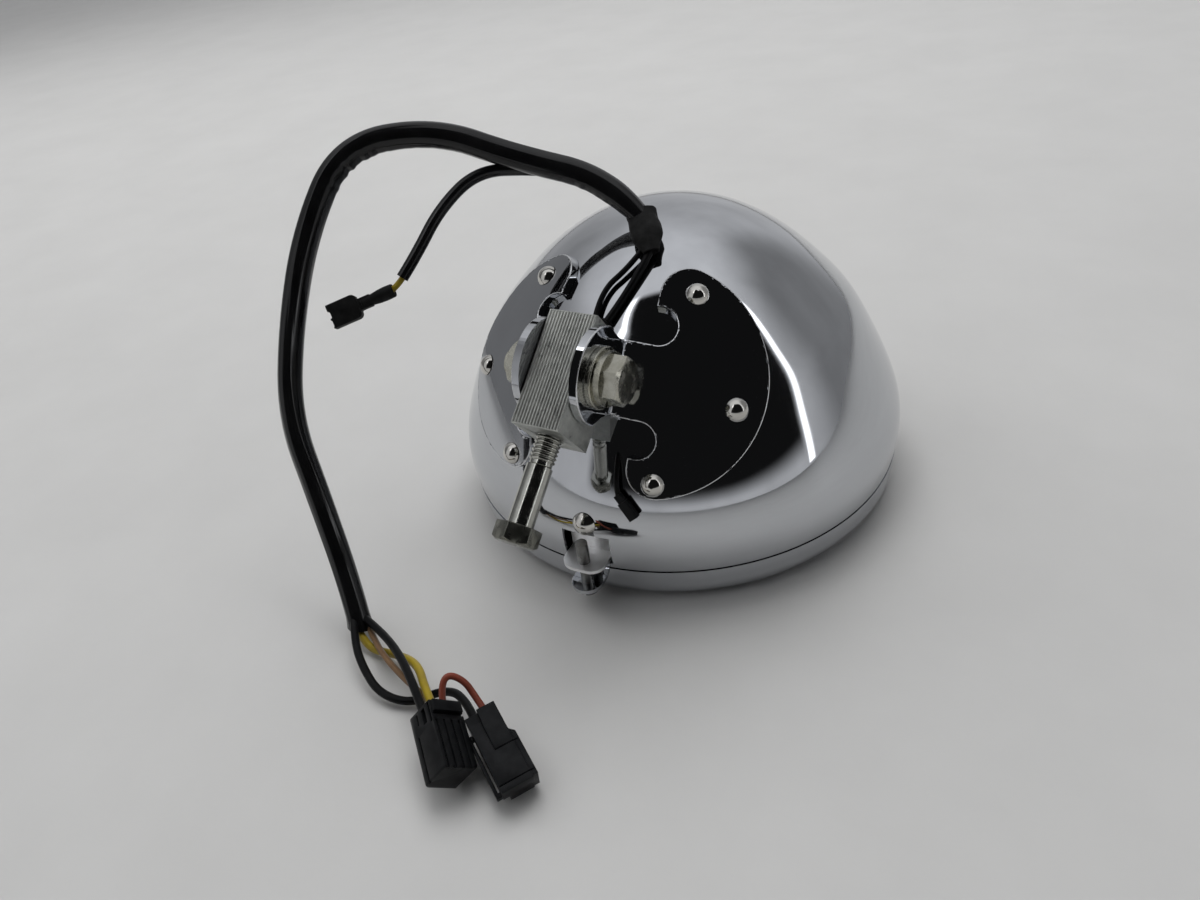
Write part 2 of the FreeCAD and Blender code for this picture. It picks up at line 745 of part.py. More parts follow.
def make_reflector():
    """Parabolic reflector with its edge flange and the bulb seat collar."""
    wide = REFLECTOR_EDGE_R
    middle = (wide + BULB_HOLE_R) / 2
    sheet = REFLECTOR_SHEET

    def parabola(lift):
        points = [rz(r, reflector_z(r) + lift) for r in (wide, middle + 12, middle, middle - 12, BULB_HOLE_R)]
        curve = Part.BSplineCurve()
        curve.interpolate(points)
        return curve

    front = parabola(0)
    back = parabola(sheet * 1.3)
    flange_low = LENS_EDGE_Z + LENS_THICK + 0.1
    collar = BULB_HOLE_R + sheet
    top = BULB_SEAT_Z + sheet
    bowl = turned([
        front.toShape(),
        edge_line(front.EndPoint, back.EndPoint),
        back.toShape(),
        edge_line(back.StartPoint, front.StartPoint),
    ])
    seat = turned_polygon([
        (BULB_HOLE_R, reflector_z(BULB_HOLE_R)),
        (collar, reflector_z(collar)),
        (collar, top),
        (BULB_SEAT_R, top),
        (BULB_SEAT_R, BULB_SEAT_Z),
        (BULB_HOLE_R, BULB_SEAT_Z),
    ])
    rim_top = reflector_z(wide) + sheet * 1.3
    rim = turned_polygon([
        (wide, flange_low),
        (REFLECTOR_FLANGE_R, flange_low),
        (REFLECTOR_FLANGE_R, flange_low + sheet),
        (wide + sheet, flange_low + sheet),
        (wide + sheet, rim_top),
        (wide, rim_top),
    ])
    return bowl.fuse(seat).fuse(rim).removeSplitter()


def make_clips():
    """Spring clips that hold the optical unit in the trim ring."""
    foot_z = LENS_EDGE_Z + LENS_THICK + 0.1 + REFLECTOR_SHEET + 0.05
    leg_out = RING_R - RING_WALL - JOGGLE - SHEET - 0.9
    clip = turned_polygon([
        (REFLECTOR_FLANGE_R - 2.4, foot_z),
        (leg_out, foot_z),
        (leg_out, foot_z + 0.8),
        (REFLECTOR_FLANGE_R - 2.4, foot_z + 0.8),
    ])
    leg = turned_polygon([
        (leg_out - 0.8, foot_z - 3.6),
        (leg_out, foot_z - 3.6),
        (leg_out, foot_z + 0.8),
        (leg_out - 0.8, foot_z + 0.8),
    ])
    band = clip.fuse(leg).removeSplitter()
    wedge = Part.makeBox(100, 9, 40, V(0, -4.5, 0))
    clips = []
    for index in range(CLIP_COUNT):
        piece = band.common(wedge)
        piece.rotate(ORIGIN, AXIS_Z, 45 + 360 * index / CLIP_COUNT)
        clips.append(piece)
    return Part.makeCompound(clips)


def make_bulb():
    """Glass capsule and metal base with three blades."""
    seat = BULB_SEAT_Z + REFLECTOR_SHEET + RUN_GAP
    base = Part.makeCylinder(BULB_FLANGE_R, BULB_FLANGE_H, V(0, 0, seat))
    base = base.fuse(Part.makeCylinder(BULB_BASE_R, BULB_BASE_TOP_Z - seat, V(0, 0, seat)))
    for angle in (0, 90, 180):
        blade = Part.makeBox(BLADE_T, BLADE_W, BLADE_TOP_Z - BULB_BASE_TOP_Z + 1)
        blade.translate(V(BLADE_OUT, -BLADE_W / 2, BULB_BASE_TOP_Z - 1))
        blade.rotate(ORIGIN, AXIS_Z, angle)
        base = base.fuse(blade)
    base = base.removeSplitter()
    neck = turned([
        edge_line(rz(0, seat), rz(0, CAPSULE_TIP_Z)),
        edge_arc(
            rz(0, CAPSULE_TIP_Z),
            rz(CAPSULE_R * math.sqrt(0.5), CAPSULE_TIP_Z + CAPSULE_R * (1 - math.sqrt(0.5))),
            rz(CAPSULE_R, CAPSULE_TIP_Z + CAPSULE_R),
        ),
        edge_line(rz(CAPSULE_R, CAPSULE_TIP_Z + CAPSULE_R), rz(CAPSULE_R, seat)),
        edge_line(rz(CAPSULE_R, seat), rz(0, seat)),
    ])
    return neck, base


def make_bulb_clip():
    """Wire spring that presses the bulb flange on its seat."""
    wire = 0.7
    height = BULB_SEAT_Z + REFLECTOR_SHEET + BULB_FLANGE_H + 0.1 + wire
    ring = Part.makeTorus(15.5, wire, V(0, 0, height))
    for side in (-1, 1):
        ring = ring.fuse(Part.makeCylinder(wire, 6.5, V(side * 15.5, 0, height), V(side, 0, 0)))
    return ring.removeSplitter()


def make_boot():
    """Rubber boot over the back of the bulb."""
    low = reflector_z(BULB_HOLE_R) + 2.4
    grip = BULB_HOLE_R + REFLECTOR_SHEET + 0.2
    neck = BULB_BASE_R + 0.2
    return turned_polygon([
        (grip, low),
        (25.5, low),
        (25.5, 67.0),
        (15.0, 70.0),
        (14.0, 75.0),
        (neck, 75.0),
        (neck, 68.6),
        (23.3, 65.2),
        (23.3, low + 2.4),
        (grip, low + 2.4),
    ])


def make_socket():
    """Three-way plug pushed on the bulb blades."""
    body = box_on(SOCKET_TOP_Z - SOCKET_LOW_Z, SOCKET_W, SOCKET_W)
    body.translate(V(0, 0, SOCKET_LOW_Z))
    body = body.makeFillet(4.0, edges_along(body, AXIS_Z))
    return body.makeChamfer(1.0, [e for e in body.Edges if abs(e.BoundBox.ZMin - SOCKET_TOP_Z) < 0.01])


def make_block():
    """Zinc-plated mount block with a rounded inner top end, pivot bore and threaded bolt hole."""
    way = block_way()
    left = -BLOCK_HALF_W
    corners = [
        block_point(-BLOCK_UP, BLOCK_OUT, left),
        block_point(BLOCK_DOWN, BLOCK_OUT, left),
        block_point(BLOCK_DOWN, -BLOCK_IN, left),
        block_point(-BLOCK_UP, -BLOCK_IN, left),
    ]
    corners.append(corners[0])
    block = Part.Face(Part.makePolygon(corners)).extrude(V(2 * BLOCK_HALF_W, 0, 0))
    inner_top = corners[3]
    round_edges = []
    for edge in edges_along(block, AXIS_X):
        if abs(edge.Vertexes[0].Point.y - inner_top.y) < 0.01:
            round_edges.append(edge)
    block = block.makeFillet(BLOCK_ROUND, round_edges)
    bevel = []
    for edge in block.Edges:
        spot = edge.CenterOfMass
        if abs((spot - block_point(0, BLOCK_OUT)).dot(block_point(0, 1) - block_point(0, 0))) < 0.01:
            bevel.append(edge)
    block = block.makeChamfer(BLOCK_EDGE, bevel)
    block = block.cut(Part.makeCylinder(PIVOT_R + RUN_GAP, 40, V(-20, PIVOT.y, PIVOT.z), AXIS_X))
    hole_end = block_point(BOLT_HOLE_U, BOLT_N)
    block = block.cut(Part.makeCylinder(BOLT_R + RUN_GAP, 40, hole_end, way))
    return block


def make_mount_bolt():
    """Hexagon bolt whose thread is cut as a row of grooves."""
    tip = BOLT_TIP_U - BOLT_HEAD_U
    thread_end = BOLT_THREAD_U - BOLT_HEAD_U
    points = [(0, tip), (BOLT_R - THREAD_DEPTH, tip)]
    turns = int((thread_end - tip) / THREAD_PITCH) - 1
    for index in range(turns):
        foot = tip + 0.6 + index * THREAD_PITCH
        points.append((BOLT_R - 0.02, foot + THREAD_PITCH * 0.4))
        points.append((BOLT_R - 0.02, foot + THREAD_PITCH * 0.55))
        points.append((BOLT_R - THREAD_DEPTH, foot + THREAD_PITCH * 0.95))
    points.append((BOLT_R - THREAD_DEPTH, thread_end - 0.4))
    points.append((BOLT_R - 0.02, thread_end))
    points.append((BOLT_R - 0.02, 0))
    points.append((0, 0))
    bolt = turned_polygon(points).fuse(hex_bar(BOLT_HEAD_AF, BOLT_HEAD_H)).removeSplitter()
    return framed(bolt, block_point(BOLT_HEAD_U, BOLT_N), block_way(), AXIS_X)


def make_pivot():
    """Pivot bolt, flat washer, split lock washer and nut."""
    under_head = EAR_OUT_X + WASHER_T + LOCK_T
    seat = V(under_head, PIVOT.y, PIVOT.z)
    length = under_head + EAR_OUT_X + PIVOT_NUT_H + PIVOT_TAIL
    bolt = hex_bar(PIVOT_AF, PIVOT_HEAD_H).fuse(Part.makeCylinder(PIVOT_R, length, V(0, 0, -length)))
    tilt = V(0, 0.35, 0.94)
    bolt = framed(bolt.removeSplitter(), seat, AXIS_X, tilt)
    bore = PIVOT_R + RUN_GAP
    washer = Part.makeCylinder(WASHER_R, WASHER_T).cut(Part.makeCylinder(bore, WASHER_T))
    rims = [e for e in washer.Edges if e.BoundBox.XLength > 2 * bore + 1 and len(e.Vertexes) == 1]
    washer = washer.makeFillet(0.4, rims)
    washer = placed(washer, V(EAR_OUT_X, PIVOT.y, PIVOT.z), AXIS_X)
    lock = Part.makeCylinder(LOCK_R, LOCK_T).cut(Part.makeCylinder(bore, LOCK_T))
    split = Part.makeBox(LOCK_R + 1, LOCK_SPLIT, LOCK_T + 2, V(0, -LOCK_SPLIT / 2, -1))
    split.rotate(ORIGIN, AXIS_Z, -40)
    lock = placed(lock.cut(split), V(EAR_OUT_X + WASHER_T, PIVOT.y, PIVOT.z), AXIS_X)
    nut = hex_bar(PIVOT_AF, PIVOT_NUT_H).cut(Part.makeCylinder(bore, PIVOT_NUT_H))
    nut = framed(nut, V(-EAR_OUT_X, PIVOT.y, PIVOT.z), AXIS_X * -1, tilt)
    return bolt, washer, lock, nut


def make_clamp():
    """Riveted tab, its rivet and the screw that draws the trim ring home."""
    half = TAB_W / 2
    foot = Part.makeBox(TAB_W, TAB_FRONT_R + TAB_LEG_Y, TAB_T, V(-half, -TAB_FRONT_R, TAB_Z))
    front = [e for e in edges_along(foot, AXIS_Z) if abs(e.Vertexes[0].Point.y + TAB_FRONT_R) < 0.01]
    foot = foot.makeFillet(TAB_CORNER, front)
    leg = Part.makeBox(TAB_W, TAB_T, TAB_LEG_TOP_Z - TAB_Z, V(-half, TAB_LEG_Y - TAB_T, TAB_Z))
    tab = foot.fuse(leg).removeSplitter()
    tab = tab.cut(Part.makeCylinder(CLAMP_SCREW_D / 2 + RUN_GAP, 10, V(0, -CLAMP_SCREW_R, TAB_Z - 5)))
    point, normal = bowl_side(CLAMP_RIVET_Z)
    tab = tab.cut(Part.makeCylinder(RIVET_SHANK_R + RUN_GAP, 16, point - normal * 8, normal))
    stud = rivet(CLAMP_RIVET_R, RIVET_HEAD_H, RIVET_SHANK_R, 5.0)
    stud = placed(stud, point + normal * SEAT_GAP, normal)
    top = LUG_Z - 0.05
    head = Part.makeCylinder(CLAMP_HEAD_R, CLAMP_HEAD_H, V(0, -CLAMP_SCREW_R, top - CLAMP_HEAD_H))
    slot = Part.makeBox(CLAMP_SLOT_W, 20, 1.2, V(-CLAMP_SLOT_W / 2, -CLAMP_SCREW_R - 10, top - CLAMP_HEAD_H))
    shank = Part.makeCylinder(CLAMP_SCREW_D / 2, CLAMP_SCREW_LEN, V(0, -CLAMP_SCREW_R, top))
    screw = head.cut(slot).fuse(shank).removeSplitter()
    return turned_clamp(tab), turned_clamp(stud), turned_clamp(screw)


def make_grommet():
    """Rubber grommet snapped in the wire hole."""
    point, normal = bowl_normal(0, GROMMET_Y)
    outside = SEAT_GAP
    inside = -SHEET - PART_GAP
    body = turned_polygon([
        (GROMMET_BORE_R, inside - GROMMET_LIP),
        (GROMMET_R, inside - GROMMET_LIP),
        (GROMMET_R, inside),
        (GROMMET_HOLE_R - RUN_GAP, inside),
        (GROMMET_HOLE_R - RUN_GAP, outside),
        (GROMMET_R, outside),
        (GROMMET_R - 0.6, outside + GROMMET_LIP),
        (GROMMET_BORE_R, outside + GROMMET_LIP),
    ])
    return placed(body, point, normal)


def make_sleeve():
    """Flattened shrink sleeve where the leads enter the loom."""
    way = SLEEVE_TOP - SLEEVE_LOW
    curve = Part.BSplineCurve()
    curve.interpolate([rz(r, way.Length * share) for r, share in SLEEVE_PROFILE])
    low = rz(0, 0)
    top = rz(0, way.Length)
    closing = [edge_line(curve.EndPoint, top), edge_line(top, low), edge_line(low, curve.StartPoint)]
    body = turned([curve.toShape()] + closing)
    squeeze = FreeCAD.Matrix()
    squeeze.scale(V(1, SLEEVE_FLAT, 1))
    body = body.transformGeometry(squeeze)
    middle = (SLEEVE_LOW + SLEEVE_TOP) * 0.5
    normal = bowl_normal(middle.x, middle.y)[1]
    return framed(body, SLEEVE_LOW, way, way.cross(normal))


def make_terminal():
    """Insulated push-on terminal: round barrel widening to a flat flag."""
    way = TERMINAL_END - TERMINAL_START
    barrel_len = way.Length - TERMINAL_FLAG_LEN
    taper = barrel_len * 0.55
    barrel = Part.makeCylinder(TERMINAL_BARREL_R, barrel_len)
    flag = box_on(TERMINAL_FLAG_LEN, TERMINAL_FLAG_W, TERMINAL_FLAG_T)
    flag = flag.makeFillet(0.8, edges_along(flag, AXIS_Z))
    flag.translate(V(0, 0, barrel_len))
    neck_wide = TERMINAL_FLAG_W * 0.42
    neck_thick = TERMINAL_FLAG_T * 0.4
    corners = ((1, 1), (-1, 1), (-1, -1), (1, -1), (1, 1))
    slender = Part.makePolygon([V(x * 1.6, y * 1.5, taper) for x, y in corners])
    broad = Part.makePolygon([V(x * neck_wide, y * neck_thick, barrel_len + 0.5) for x, y in corners])
    neck = Part.makeLoft([slender, broad], True)
    body = barrel.fuse(flag).fuse(neck).removeSplitter()
    return framed(body, TERMINAL_START, way, TERMINAL_WIDE)


def roll_side(way, roll):
    """Sideways direction of a connector lying along way, rolled about it."""
    flat = way.cross(AXIS_Z).normalize()
    up = flat.cross(V(way).normalize())
    angle = math.radians(roll)
    return flat * math.cos(angle) + up * math.sin(angle)


def make_ribbed():
    """Square connector housing with grip grooves on two faces and a collar near its wire end."""
    way = RIBBED_END - RIBBED_START
    side = RIBBED_SIDE
    body = box_on(way.Length, side, side)
    body = body.makeFillet(1.0, edges_along(body, AXIS_Z))
    pitch = side * 0.8 / RIB_COUNT
    for index in range(RIB_COUNT):
        place = (index - (RIB_COUNT - 1) / 2) * pitch
        groove = box_on(way.Length * 0.8, RIB_GROOVE, RIB_GROOVE * 2)
        groove.translate(V(place, -side / 2, way.Length * 0.2))
        body = body.cut(groove)
    groove = box_on(way.Length * 0.75, RIB_GROOVE * 2, RIB_GROOVE)
    groove.translate(V(side / 2, 0, way.Length * 0.25))
    body = body.cut(groove)
    collar = box_on(1.6, side + 2, side + 2).cut(box_on(1.6, side - 1.4, side - 1.4))
    collar.translate(V(0, 0, 2.4))
    body = body.cut(collar)
    return framed(body, RIBBED_START, way, roll_side(way, RIBBED_ROLL))


def make_slim():
    """Slim connector housing with a latch step and a collar at its mating end."""
    way = SLIM_END - SLIM_START
    body = box_on(way.Length, SLIM_W, SLIM_H)
    step = box_on(way.Length * 0.5, SLIM_STEP * 2, SLIM_H * 0.9)
    step.translate(V(-SLIM_W / 2, 0, way.Length * 0.5))
    body = body.fuse(step).removeSplitter()
    seam = box_on(0.7, SLIM_W * 2, SLIM_H * 2).cut(box_on(0.7, SLIM_W + SLIM_STEP * 2 - 1, SLIM_H - 0.9))
    seam.translate(V(0, 0, way.Length * 0.9))
    body = body.cut(seam)
    latch = box_on(way.Length * 0.36, SLIM_W * 0.5, 1.0)
    latch.translate(V(SLIM_W * 0.18, SLIM_H / 2, way.Length * 0.12))
    body = body.cut(latch)
    return framed(body, SLIM_START, way, roll_side(way, 0))


def make_plug():
    """Small two-piece plug on the pilot lead."""
    way = PLUG_END - PLUG_START
    body = box_on(way.Length, PLUG_W, PLUG_T)
    body = body.makeFillet(0.5, edges_along(body, AXIS_Z))
    tail = box_on(way.Length * 0.3, PLUG_W * 0.7, PLUG_T * 0.7)
    body = body.cut(box_on(way.Length * 0.3, PLUG_W * 2, PLUG_T * 2)).fuse(tail).removeSplitter()
    middle = (PLUG_START + PLUG_END) * 0.5
    normal = V(middle.x, middle.y, 12).normalize()
    return framed(body, PLUG_START, way, way.cross(normal))


def main():
    """Build every node and write it."""
    os.makedirs("parts", exist_ok=True)
    keep("shell", make_shell())
    keep("trim_ring", make_ring())
    keep("lens", make_lens())
    gasket_low = RING_WALL + 0.1 + RUN_GAP
    gasket = turned_polygon([
        (GASKET_IN_R, gasket_low),
        (GASKET_OUT_R, gasket_low),
        (GASKET_OUT_R, LENS_EDGE_Z - RUN_GAP),
        (GASKET_IN_R, LENS_EDGE_Z - RUN_GAP),
    ])
    keep("lens_gasket", gasket)
    keep("reflector", make_reflector())
    keep("retaining_clips", make_clips())
    capsule, base = make_bulb()
    keep("bulb_capsule", capsule)
    keep("bulb_base", base)
    keep("bulb_clip", make_bulb_clip())
    keep("dust_boot", make_boot())
    keep("bulb_socket", make_socket())
    bracket = make_bracket()
    keep("bracket_right", bracket)
    keep("bracket_left", mirrored(bracket))
    stud = rivet(RIVET_HEAD_R, RIVET_HEAD_H, RIVET_SHANK_R, SEAT_GAP + PLATE + SHEET + 1.2)
    studs = []
    for point, normal in rivet_seats():
        right = placed(stud, point + normal * (2 * SEAT_GAP + PLATE), normal)
        studs += [right, mirrored(right)]
    keep("bracket_rivets", Part.makeCompound(studs))
    for name, shape in zip(("clamp_tab", "clamp_rivet", "clamp_screw"), make_clamp()):
        keep(name, shape)
    for name, shape in zip(("pivot_bolt", "pivot_washer", "pivot_lock_washer", "pivot_nut"), make_pivot()):
        keep(name, shape)
    keep("mount_block", make_block())
    keep("mount_bolt", make_mount_bolt())
    keep("wire_grommet", make_grommet())
    keep("loom_sleeve", make_sleeve())
    keep("branch_terminal", make_terminal())
    keep("ribbed_connector", make_ribbed())
    keep("slim_connector", make_slim())
    keep("pilot_plug", make_plug())
    cords = [
        ("main_loom", LOOM, LOOM_D),
        ("branch_loom", BRANCH, BRANCH_D),
        ("branch_wire", BRANCH_WIRE, THIN_WIRE_D),
        ("lead_a", LEAD_A, LEAD_A_D),
        ("lead_b", LEAD_B, LEAD_B_D),
        ("inner_lead_a", INNER_A, LEAD_B_D),
        ("inner_lead_b", INNER_B, LEAD_B_D),
        ("wire_black", WIRE_BLACK, WIRE_D),
        ("wire_yellow", WIRE_YELLOW, WIRE_D),
        ("wire_brown", WIRE_BROWN, THIN_WIRE_D),
        ("wire_loop", WIRE_LOOP, WIRE_D),
        ("wire_red", WIRE_RED, THIN_WIRE_D),
        ("pilot_lead", PILOT, PILOT_D),
    ]
    for name, points, diameter in cords:
        keep(name, cord(name, points, diameter))


main()
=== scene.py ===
"""Looks of a motorcycle headlight: chromed bowl on its bracket, mount block, bolt and wiring."""

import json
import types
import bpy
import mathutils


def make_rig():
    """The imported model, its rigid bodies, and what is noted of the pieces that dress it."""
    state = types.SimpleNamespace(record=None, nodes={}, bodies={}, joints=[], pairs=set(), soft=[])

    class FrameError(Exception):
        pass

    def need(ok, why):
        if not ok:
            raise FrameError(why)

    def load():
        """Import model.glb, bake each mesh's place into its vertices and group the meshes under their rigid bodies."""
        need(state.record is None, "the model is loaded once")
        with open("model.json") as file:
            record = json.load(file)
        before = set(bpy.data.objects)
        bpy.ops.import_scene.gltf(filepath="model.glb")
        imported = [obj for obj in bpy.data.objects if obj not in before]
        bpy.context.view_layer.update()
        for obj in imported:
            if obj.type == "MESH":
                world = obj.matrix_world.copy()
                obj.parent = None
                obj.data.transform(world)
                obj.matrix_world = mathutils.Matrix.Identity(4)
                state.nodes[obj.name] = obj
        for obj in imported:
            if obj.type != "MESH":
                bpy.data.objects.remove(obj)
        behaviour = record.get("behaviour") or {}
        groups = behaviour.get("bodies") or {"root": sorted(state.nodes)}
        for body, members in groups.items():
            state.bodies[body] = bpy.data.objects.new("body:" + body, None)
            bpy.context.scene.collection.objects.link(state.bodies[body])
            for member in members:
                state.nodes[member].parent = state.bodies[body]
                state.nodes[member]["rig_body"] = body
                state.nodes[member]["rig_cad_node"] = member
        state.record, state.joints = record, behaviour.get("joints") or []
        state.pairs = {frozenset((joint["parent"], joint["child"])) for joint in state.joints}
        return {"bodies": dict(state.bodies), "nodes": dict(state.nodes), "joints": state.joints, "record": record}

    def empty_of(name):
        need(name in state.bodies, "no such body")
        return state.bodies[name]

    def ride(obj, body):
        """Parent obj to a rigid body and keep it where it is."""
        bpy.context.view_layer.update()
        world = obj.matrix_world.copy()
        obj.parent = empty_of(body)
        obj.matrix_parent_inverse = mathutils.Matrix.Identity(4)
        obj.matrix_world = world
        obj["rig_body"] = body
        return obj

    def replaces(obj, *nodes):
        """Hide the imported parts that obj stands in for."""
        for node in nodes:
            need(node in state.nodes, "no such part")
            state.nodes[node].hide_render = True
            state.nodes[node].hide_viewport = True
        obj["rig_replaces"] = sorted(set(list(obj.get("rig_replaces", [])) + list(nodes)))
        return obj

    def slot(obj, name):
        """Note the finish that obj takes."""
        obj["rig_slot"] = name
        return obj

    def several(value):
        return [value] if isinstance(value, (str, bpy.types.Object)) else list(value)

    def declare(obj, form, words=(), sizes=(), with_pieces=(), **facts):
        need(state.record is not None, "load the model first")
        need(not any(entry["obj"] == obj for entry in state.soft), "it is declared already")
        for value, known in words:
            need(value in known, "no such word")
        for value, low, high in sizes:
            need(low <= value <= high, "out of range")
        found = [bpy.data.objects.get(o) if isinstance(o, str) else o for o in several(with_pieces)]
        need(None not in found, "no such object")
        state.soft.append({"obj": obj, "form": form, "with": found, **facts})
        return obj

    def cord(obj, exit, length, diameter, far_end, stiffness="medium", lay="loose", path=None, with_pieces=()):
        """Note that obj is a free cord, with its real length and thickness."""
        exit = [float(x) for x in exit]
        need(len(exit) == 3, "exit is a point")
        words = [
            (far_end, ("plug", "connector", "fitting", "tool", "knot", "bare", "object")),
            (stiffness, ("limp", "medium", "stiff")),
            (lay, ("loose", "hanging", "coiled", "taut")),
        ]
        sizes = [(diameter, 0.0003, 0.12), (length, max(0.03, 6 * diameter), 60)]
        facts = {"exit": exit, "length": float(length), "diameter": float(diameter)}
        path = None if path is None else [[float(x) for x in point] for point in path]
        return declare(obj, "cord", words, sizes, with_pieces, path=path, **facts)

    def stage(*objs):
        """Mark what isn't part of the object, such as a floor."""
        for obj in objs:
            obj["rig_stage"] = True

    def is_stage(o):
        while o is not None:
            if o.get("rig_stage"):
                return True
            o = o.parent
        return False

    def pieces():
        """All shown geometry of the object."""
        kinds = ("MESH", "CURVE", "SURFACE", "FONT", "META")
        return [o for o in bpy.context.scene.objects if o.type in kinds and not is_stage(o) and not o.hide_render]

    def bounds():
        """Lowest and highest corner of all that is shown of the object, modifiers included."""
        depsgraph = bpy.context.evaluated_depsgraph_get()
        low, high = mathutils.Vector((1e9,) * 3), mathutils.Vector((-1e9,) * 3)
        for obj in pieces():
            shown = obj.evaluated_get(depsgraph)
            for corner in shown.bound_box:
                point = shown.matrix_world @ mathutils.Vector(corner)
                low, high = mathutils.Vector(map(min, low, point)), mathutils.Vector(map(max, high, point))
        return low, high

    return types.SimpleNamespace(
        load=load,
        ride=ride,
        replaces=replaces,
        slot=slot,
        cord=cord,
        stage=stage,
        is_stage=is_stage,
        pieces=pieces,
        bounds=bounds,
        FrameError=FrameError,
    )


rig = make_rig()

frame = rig.load()

import json
import logging
import math
from dataclasses import dataclass, field
from enum import Enum
from typing import Callable

import bpy
import numpy as np
from mathutils import Matrix, Vector

MM = 0.001
TINY = 0.001
NEAR = 0.1
SAME_FACE = math.radians(35)
CAD_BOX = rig.bounds()
LOG = logging.getLogger("headlight")
Point = tuple[float, float, float]
Colour = tuple[float, float, float]
Stop = tuple[float, Colour | float]
Span = tuple[float, float]
Ring = tuple[float, float]
Edges = tuple[float, float, float, float]
Box = tuple[Point, Point]
Piece = bpy.types.Object
Socket = bpy.types.NodeSocket
Swell = Callable[[float, float, float, float], float]


class Body(Enum):
    """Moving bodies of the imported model."""

    LAMP = "lamp"
    MOUNT = "mount"


class FarEnd(Enum):
    """What a cord ends in."""

    CONNECTOR = "connector"
    FITTING = "fitting"
    BARE = "bare"
    OBJECT = "object"


class Stiffness(Enum):
    """How a cord bends."""

    LIMP = "limp"
    MEDIUM = "medium"


class Coords(Enum):
    """What a pattern is laid out on."""

    OBJECT = "Object"
    UV = "UV"
    SKY = "Generated"


class Step(Enum):
    """Steps of arithmetic between nodes."""

    ADD = "ADD"
    TAKE = "SUBTRACT"
    TIMES = "MULTIPLY"
    GREATEST = "MAXIMUM"
    ARC_TANGENT = "ARCTAN2"
    ARC_SINE = "ARCSINE"


class Work(Enum):
    """What a tool does to the piece that it meets."""

    CUT = "DIFFERENCE"
    MELT = "UNION"


class Pick(Enum):
    """What is picked out on a mesh."""

    EDGES = "EDGE"
    FACES = "FACE"


